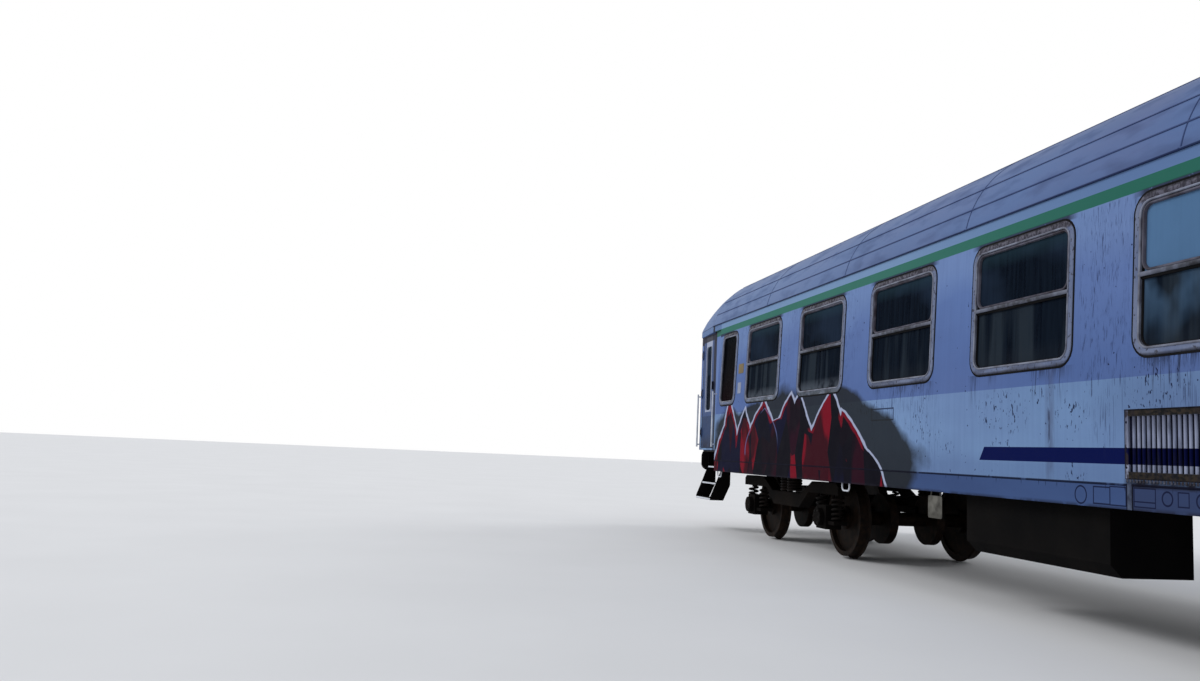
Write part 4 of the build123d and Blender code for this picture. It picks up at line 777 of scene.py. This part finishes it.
# Plain finishes: colour, dirt, then what differs from the usual roughness, metal, dirt's amount and scales
PLAIN = {
    "bead": ((128, 134, 152), (66, 64, 74), dict(rough=0.45, metal=0.2, amount=0.8, scale=9, gloss=0.15)),
    "sash": ((96, 96, 110), (46, 40, 44), dict(metal=0.1, amount=0.9, scale=7)),
    "lamp": ((226, 208, 170), (150, 130, 100), dict(rough=0.25, amount=0.25, gloss=0.4)),
    "cream": ((238, 216, 176), (190, 160, 120), dict(rough=0.3, amount=0.3, gloss=0.4)),
    "rubber": ((12, 12, 14), (32, 31, 33), dict(rough=0.8, grain=80)),
    # steel, bogie and under are black paint taken darker still, near black, as painted shade under the coach
    "steel": ((9, 9, 10), (20, 17, 16), dict(rough=0.8, gloss=0.03)),
    "bogie": ((11, 10, 10), (26, 21, 18), dict(rough=0.8, amount=0.8, gloss=0.03)),
    "spring": ((18, 17, 17), (40, 31, 27), dict(metal=0.2)),
    "buffer": ((16, 16, 17), (40, 36, 34), dict(rough=0.5, metal=0.3)),
    "white": ((214, 218, 226), (120, 120, 128), dict(amount=0.4, scale=9)),
    "plate_yellow": ((128, 112, 78), (86, 78, 70), {}),
    "plate_pale": ((148, 156, 178), (96, 96, 104), {}),
    "strip": ((78, 88, 110), (28, 30, 46), dict(amount=0.9, scale=16)),
    "board": ((112, 110, 104), (44, 42, 40), dict(rough=0.8, amount=0.8, scale=9)),
    "seam": ((22, 24, 42), (14, 14, 22), dict(rough=0.8)),
    "panel": ((112, 98, 78), (70, 58, 46), dict(scale=6)),
    "ceiling": ((150, 150, 142), (100, 98, 92), dict(rough=0.7)),
    "floor": ((50, 48, 46), (30, 28, 26), dict(rough=0.8)),
    # Painted shade: the underfloor boxes' black is taken near black
    "under": ((9, 9, 10), (20, 18, 17), dict(rough=0.8, amount=0.7, gloss=0.03)),
}
MATERIALS = {name: weathered(name, colour, dirt, **more) for name, (colour, dirt, more) in PLAIN.items()}
MATERIALS.update({
    "paint_left": livery("paint_left", True),
    "paint_right": livery("paint_right", False),
    "roof": roof_paint(),
    "end": end_paint(),
    "door": door_paint(),
    "leaf": leaf_paint(),
    "metal": window_metal(),
    "transom": transom_metal(),
    "grille": grille_paint(),
    "glass": glazing(),
    "wheel": wheel_steel(),
    "cloth": seat_cloth(),
})

# Finish of each carried-over node, by the start of its name
FINISHES = [
    ("side_wall_left", "paint_left"), ("side_wall_right", "paint_right"), ("side_door_glass", "glass"),
    ("window_glass", "glass"), ("roof", "roof"), ("end_wall", "end"), ("gangway_door", "leaf"),
    ("gangway_glass", "cream"), ("gangway_tubes", "rubber"), ("bridge_plate", "steel"),
    ("window_frames", "metal"), ("air_grille", "grille"), ("floor", "floor"), ("underframe", "steel"),
    ("corridor_wall", "panel"), ("cross_partitions", "panel"), ("vestibule_partitions", "panel"),
    ("ceiling", "ceiling"), ("seats", "cloth"), ("luggage_racks", "metal"), ("buffers", "buffer"),
    ("draw_gear", "buffer"), ("entry_steps", "steel"), ("handrails", "white"), ("end_lamps", "lamp"),
    ("equipment_boxes", "under"), ("air_reservoirs", "under"), ("bogie_springs", "spring"),
    ("bogie", "bogie"), ("wheelset", "wheel"), ("side_door", "door"),
]
for name, node in NODES.items():
    finish = next(material for start, material in FINISHES if name.startswith(start))
    node.data.materials.clear()
    node.data.materials.append(MATERIALS[finish])


class Shape:
    """Mesh gathered from rings of points."""

    def __init__(self):
        self.verts = []
        self.faces = []

    def skin(self, rings, loop=False, caps=True):
        """Faces from each ring to the next; all rings have as many points."""
        first = len(self.verts)
        n = len(rings[0])
        for ring in rings:
            self.verts.extend(Vector(p) for p in ring)
        count = len(rings)
        for i in range(count if loop else count - 1):
            a = first + i * n
            b = first + (i + 1) % count * n
            for j in range(n):
                k = (j + 1) % n
                self.faces.append((a + j, a + k, b + k, b + j))
        if caps and not loop:
            self.faces.append(tuple(first + j for j in reversed(range(n))))
            self.faces.append(tuple(first + (count - 1) * n + j for j in range(n)))

    def box(self, low, high):
        (x0, y0, z0), (x1, y1, z1) = low, high
        ring = [(x0, y0), (x1, y0), (x1, y1), (x0, y1)]
        self.skin([[(x, y, z) for x, y in ring] for z in (z0, z1)])

    def tube(self, points, r, sides=10):
        """Round bar along a list of points."""
        points = [Vector(p) for p in points]
        rings = []
        side = None
        for i, p in enumerate(points):
            along = (points[min(i + 1, len(points) - 1)] - points[max(i - 1, 0)]).normalized()
            if side is None:
                side = along.orthogonal().normalized()
            side = (side - along * side.dot(along)).normalized()
            up = along.cross(side)
            turn = [2 * math.pi * k / sides for k in range(sides)]
            rings.append([p + r * (math.cos(t) * side + math.sin(t) * up) for t in turn])
        self.skin(rings)

    def lathe(self, centre, axis, profile, sides=32):
        """Turned form: profile points are distance along the axis and radius."""
        axis = Vector(axis).normalized()
        side = axis.orthogonal().normalized()
        up = axis.cross(side)
        turn = [2 * math.pi * k / sides for k in range(sides)]
        centre = Vector(centre)
        self.skin([[centre + axis * d + r * (math.cos(t) * side + math.sin(t) * up) for t in turn]
                   for d, r in profile])

    def bolt(self, centre, axis, r):
        """Hexagon bolt head on a washer."""
        self.lathe(centre, axis, [(d * r, reach * r) for d, reach in BOLT], 6)


def add_object(name, data):
    made = bpy.data.objects.new(name, data)
    SCENE.collection.objects.link(made)
    return made


def place(shape, name, material, body="root", replaces=(), bevel=0.0):
    """Make a piece of a gathered shape, and say what it rides on and stands for."""
    mesh = bpy.data.meshes.new(name)
    mesh.from_pydata(shape.verts, [], shape.faces)
    mesh.validate()
    piece = add_object(name, mesh)
    bpy.context.view_layer.objects.active = piece
    piece.select_set(True)
    bpy.ops.object.mode_set(mode="EDIT")
    bpy.ops.mesh.select_all(action="SELECT")
    bpy.ops.mesh.normals_make_consistent(inside=False)
    bpy.ops.object.mode_set(mode="OBJECT")
    piece.select_set(False)
    mesh.materials.append(MATERIALS[material])
    mesh.shade_smooth()
    mesh.set_sharp_from_angle(angle=math.radians(38))
    if bevel:
        edge = piece.modifiers.new("edges", "BEVEL")
        edge.width = bevel
        edge.segments = 2
        edge.limit_method = "ANGLE"
    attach(piece, body)
    if replaces:
        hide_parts(*replaces)


def rounded(width, height, r, steps=6):
    """Points of a rounded rectangle about the origin, anticlockwise."""
    r = max(r, 0.002)
    points = []
    for quarter, (sx, sz) in enumerate(((1, 1), (-1, 1), (-1, -1), (1, -1))):
        cx, cz = sx * (width / 2 - r), sz * (height / 2 - r)
        for i in range(steps + 1):
            turn = math.pi / 2 * (quarter + i / steps)
            points.append((cx + r * math.cos(turn), cz + r * math.sin(turn)))
    return points


def on_wall(side, x, z, out):
    """Point at a place along and a height up a side wall, so far out of its face."""
    return (x, side * (half_width(z) + out), z)


def wall_ring(shape, side, x, z, width, height, r, profile):
    """Ring round an opening in a side wall; profile points are inset from its edge and out of the wall."""
    rings = []
    for inset, out in profile:
        ring = rounded(width - 2 * inset, height - 2 * inset, r - inset)
        rings.append([on_wall(side, x + u, z + v, out) for u, v in ring])
    shape.skin(rings, loop=True)


def dress_windows(name, side):
    """Frames, bright beads, sashes, transoms and gaskets in place of the plain frames; the outer gaskets are
    widened so their black also stands as painted shade in the gap round each frame.
    """
    metal, bead, transom, sash, rubber = Shape(), Shape(), Shape(), Shape(), Shape()
    rings = (
        (metal, 0.0, FRAME_RING), (bead, BEAD_EDGE, BEAD_RING), (rubber, -0.016, OUTER_SEAL_AND_SHADE),
        (rubber, FRAME_BAR, INNER_SEAL),
    )
    for x, width in OPENINGS:
        for shape, inset, profile in rings:
            size = (width - 2 * inset, WINDOW_H - 2 * inset, WINDOW_R - inset)
            wall_ring(shape, side, x, WINDOW_MID, *size, profile)
        if width < WINDOW_W:
            continue
        # The upper sash, whose lower bar is the transom, slides down behind the lower pane
        clear = width - 2 * FRAME_BAR
        half = (WINDOW_H - 2 * FRAME_BAR - TRANSOM_H) / 2
        size = (clear - 0.004, half - 0.004, WINDOW_R - FRAME_BAR - 0.002)
        wall_ring(sash, side, x, WINDOW_MID + (half + TRANSOM_H) / 2, *size, SASH_RING)
        span = clear / 2 + BEAD_W - 0.001
        for shape, reach, profile in ((transom, span, TRANSOM), (rubber, clear / 2, TRANSOM_SEAL)):
            shape.skin([[on_wall(side, x + u, WINDOW_MID + v, out) for v, out in profile]
                        for u in (-reach, reach)])
    place(metal, "window_trim_" + name, "metal", replaces=("window_frames_" + name,))
    trims = (("beads", bead, "bead"), ("transoms", transom, "transom"), ("sashes", sash, "sash"))
    for kind, shape, finish in trims:
        place(shape, "window_" + kind + "_" + name, finish)
    place(rubber, "window_gaskets_and_shade_" + name, "rubber")


def dress_left_side():
    """Blank plates, the grille's screws, the joint strip below it and a blank board under the sill."""
    for kind, x, z, width, height in PLATES:
        plate = Shape()
        ring = rounded(width, height, 0.012, 3)
        plate.skin([[on_wall(1, x + u, z + v, out) for u, v in ring] for out in (0.0, 0.003)])
        place(plate, "blank_" + kind, kind)
    screws = Shape()
    for side in (-1, 1):
        for z in (GRILLE_LOW + 0.075, GRILLE_LOW + 0.20, GRILLE_HIGH - 0.085):
            at = (GRILLE_X + side * (GRILLE_W / 2 - 0.018), GRILLE_FACE - 0.001, z)
            screws.lathe(at, (0, 1, 0), SCREW, 12)
    place(screws, "grille_screws", "seam")
    strip = Shape()
    reach = (SILL, GRILLE_LOW - 0.024)
    strip.skin([[(STRIP_X + u, HALF_WIDTH + out, z) for u, out in JOINT_STRIP] for z in reach])
    place(strip, "joint_strip", "strip")
    edges = Shape()
    ring = rounded(0.010, SKIRT - SILL, 0.003, 2)
    for x in (STRIP_X - 0.026, STRIP_X + 0.026):
        edges.skin([[(x + u, HALF_WIDTH + out, (SKIRT + SILL) / 2 + v) for u, v in ring]
                    for out in (0.0, 0.002)])
    place(edges, "joint_strip_edges", "seam")
    board = Shape()
    y = HALF_WIDTH - 0.045
    ring = rounded(BOARD_W, BOARD_H, 0.02, 4)
    board.skin([[(BOARD_X + u, y + out, BOARD_Z + v) for u, v in ring] for out in (0.0, 0.004)])
    for u in (-0.08, 0.08):
        board.tube([(BOARD_X + u, y - 0.006, z) for z in (0.72, SILL + 0.02)], 0.007, 8)
    place(board, "blank_board", "board")


def dress_ends():
    """Lamp rings and sockets on both end walls, and bolts round the buffers' feet and the hooks."""
    rings, sockets, bolts = Shape(), Shape(), Shape()
    for end in (-1, 1):
        out = (end, 0, 0)
        for side in (-1, 1):
            rings.lathe((end * HALF, side * LAMP_Y, LAMP_Z), out, LAMP_RING, 40)
            sockets.lathe((end * HALF, side * SOCKET_Y, SOCKET_Z), out, SOCKET, 28)
            for dy in (-BUFFER_BOLTS, BUFFER_BOLTS):
                for dz in (-BUFFER_BOLTS, BUFFER_BOLTS):
                    at = (end * (HEADSTOCK_X + 0.020), side * BUFFER_Y + dy, BUFFER_Z + dz)
                    bolts.bolt(at, out, 0.012)
            for dz in HOOK_BOLTS:
                bolts.bolt((end * HEADSTOCK_X, side * 0.10, BUFFER_Z + dz), out, 0.016)
    place(rings, "lamp_rings", "rubber")
    place(sockets, "jumper_sockets", "under")
    place(bolts, "headstock_bolts", "buffer")


def coil(shape, x, y, low, high, r, wire):
    """Upright wound spring between two heights."""
    points = []
    steps = COIL_TURNS * 16
    for i in range(steps + 1):
        turn = 2 * math.pi * COIL_TURNS * i / steps
        rise = low + wire + (high - low - 2 * wire) * i / steps
        points.append((x + (r - wire) * math.cos(turn), y + (r - wire) * math.sin(turn), rise))
    shape.tube(points, wire, 8)


def dress_bogies():
    """Real coil springs in place of the plain ones on both bogies, and bolts on the axle boxes' caps."""
    springs = [(0.0, BOLSTER_SPRING)] + [(axle, AXLE_SPRING) for axle in AXLES]
    for end, sign in ENDS.items():
        coils, bolts = Shape(), Shape()
        for side in (-1, 1):
            for middle, (off, *form) in springs:
                for x in (middle - off, middle + off):
                    coil(coils, sign * BOGIE_X + x, side * BEAM_Y, *form)
            for axle in AXLES:
                for i in range(6):
                    u, v = CAP_BOLTS_R * math.cos(math.pi / 3 * i), CAP_BOLTS_R * math.sin(math.pi / 3 * i)
                    bolts.bolt((sign * BOGIE_X + axle + u, side * CAP_Y, AXLE_Z + v), (0, side, 0), 0.010)
        place(coils, "coil_springs_" + end, "spring", body="bogie_" + end,
              replaces=("bogie_springs_" + end,))
        place(bolts, "axle_box_bolts_" + end, "buffer", body="bogie_" + end)


def dress_steps():
    """White edges on the steps' treads."""
    edges = Shape()
    for end in (-1, 1):
        for side in (-1, 1):
            for z, y in TREADS:
                x0, x1 = sorted((end * (DOOR_X - DOOR_W / 2 + 0.01), end * (DOOR_X + DOOR_W / 2 - 0.01)))
                y0, y1 = sorted((side * (y - 0.03), side * (y + 0.003)))
                edges.box((x0, y0, z - 0.022), (x1, y1, z + 0.002))
    place(edges, "step_edges", "white", bevel=0.003)


def stage():
    """Pale floor, lamps, and a world that shows white behind the coach."""
    mesh = bpy.data.meshes.new("floor_plane")
    corners = [(x * GROUND, y * GROUND, 0) for x, y in ((-1, -1), (1, -1), (1, 1), (-1, 1))]
    mesh.from_pydata(corners, [], [(0, 1, 2, 3)])
    plane = add_object("floor_plane", mesh)
    paint = Paint("floor_plane", 0.9)
    paint.tone = paint.mix(paint.noise(0.6, detail=4), (214, 214, 216), (222, 222, 224))
    mesh.materials.append(paint.finish())
    for name, (lean, turn, strength) in LAMPS.items():
        lamp = bpy.data.lights.new(name, "SUN")
        lamp.energy = strength
        lamp.angle = math.radians(LAMP_SPREAD)
        add_object(name, lamp).rotation_euler = (math.radians(lean), 0, math.radians(turn))
    world = bpy.data.worlds.new("world")
    world.use_nodes = True
    world.node_tree.nodes.clear()
    SCENE.world = world
    sky = Nodes(world.node_tree)
    light = sky.node("ShaderNodeBackground", WORLD_LIGHT).outputs[0]
    white = sky.node("ShaderNodeBackground", WORLD_SEEN).outputs[0]
    rays = sky.node("ShaderNodeLightPath").outputs
    seen = sky.math("MAXIMUM", rays["Is Camera Ray"], rays["Is Glossy Ray"])
    seen = sky.math("MAXIMUM", seen, rays["Is Transmission Ray"])
    mix = sky.node("ShaderNodeMixShader", {0: seen, 1: light, 2: white})
    sky.node("ShaderNodeOutputWorld", {0: mix.outputs[0]})
    SCENE.view_settings.view_transform = "Standard"


def camera():
    """Camera low beside the coach, turned towards its far end."""
    yaw, pitch, roll = (math.radians(turn) for turn in (CAMERA_YAW, CAMERA_PITCH, CAMERA_ROLL))
    forward = Vector((math.cos(pitch) * math.cos(yaw), -math.cos(pitch) * math.sin(yaw), math.sin(pitch)))
    level = Vector((-math.sin(yaw), -math.cos(yaw), 0))
    upright = level.cross(forward)
    right = math.cos(roll) * level + math.sin(roll) * upright
    up = -math.sin(roll) * level + math.cos(roll) * upright
    data = bpy.data.cameras.new("camera")
    data.sensor_width = 36
    data.lens = CAMERA_LENS
    data.clip_end = 300
    SCENE.camera = add_object("camera", data)
    turn = Matrix((right, up, -forward)).transposed()
    SCENE.camera.matrix_world = Matrix.Translation(CAMERA_AT) @ turn.to_4x4()


camera()
stage()
for side_name, side_sign in SIDES.items():
    dress_windows(side_name, side_sign)
dress_left_side()
dress_ends()
dress_bogies()
dress_steps()
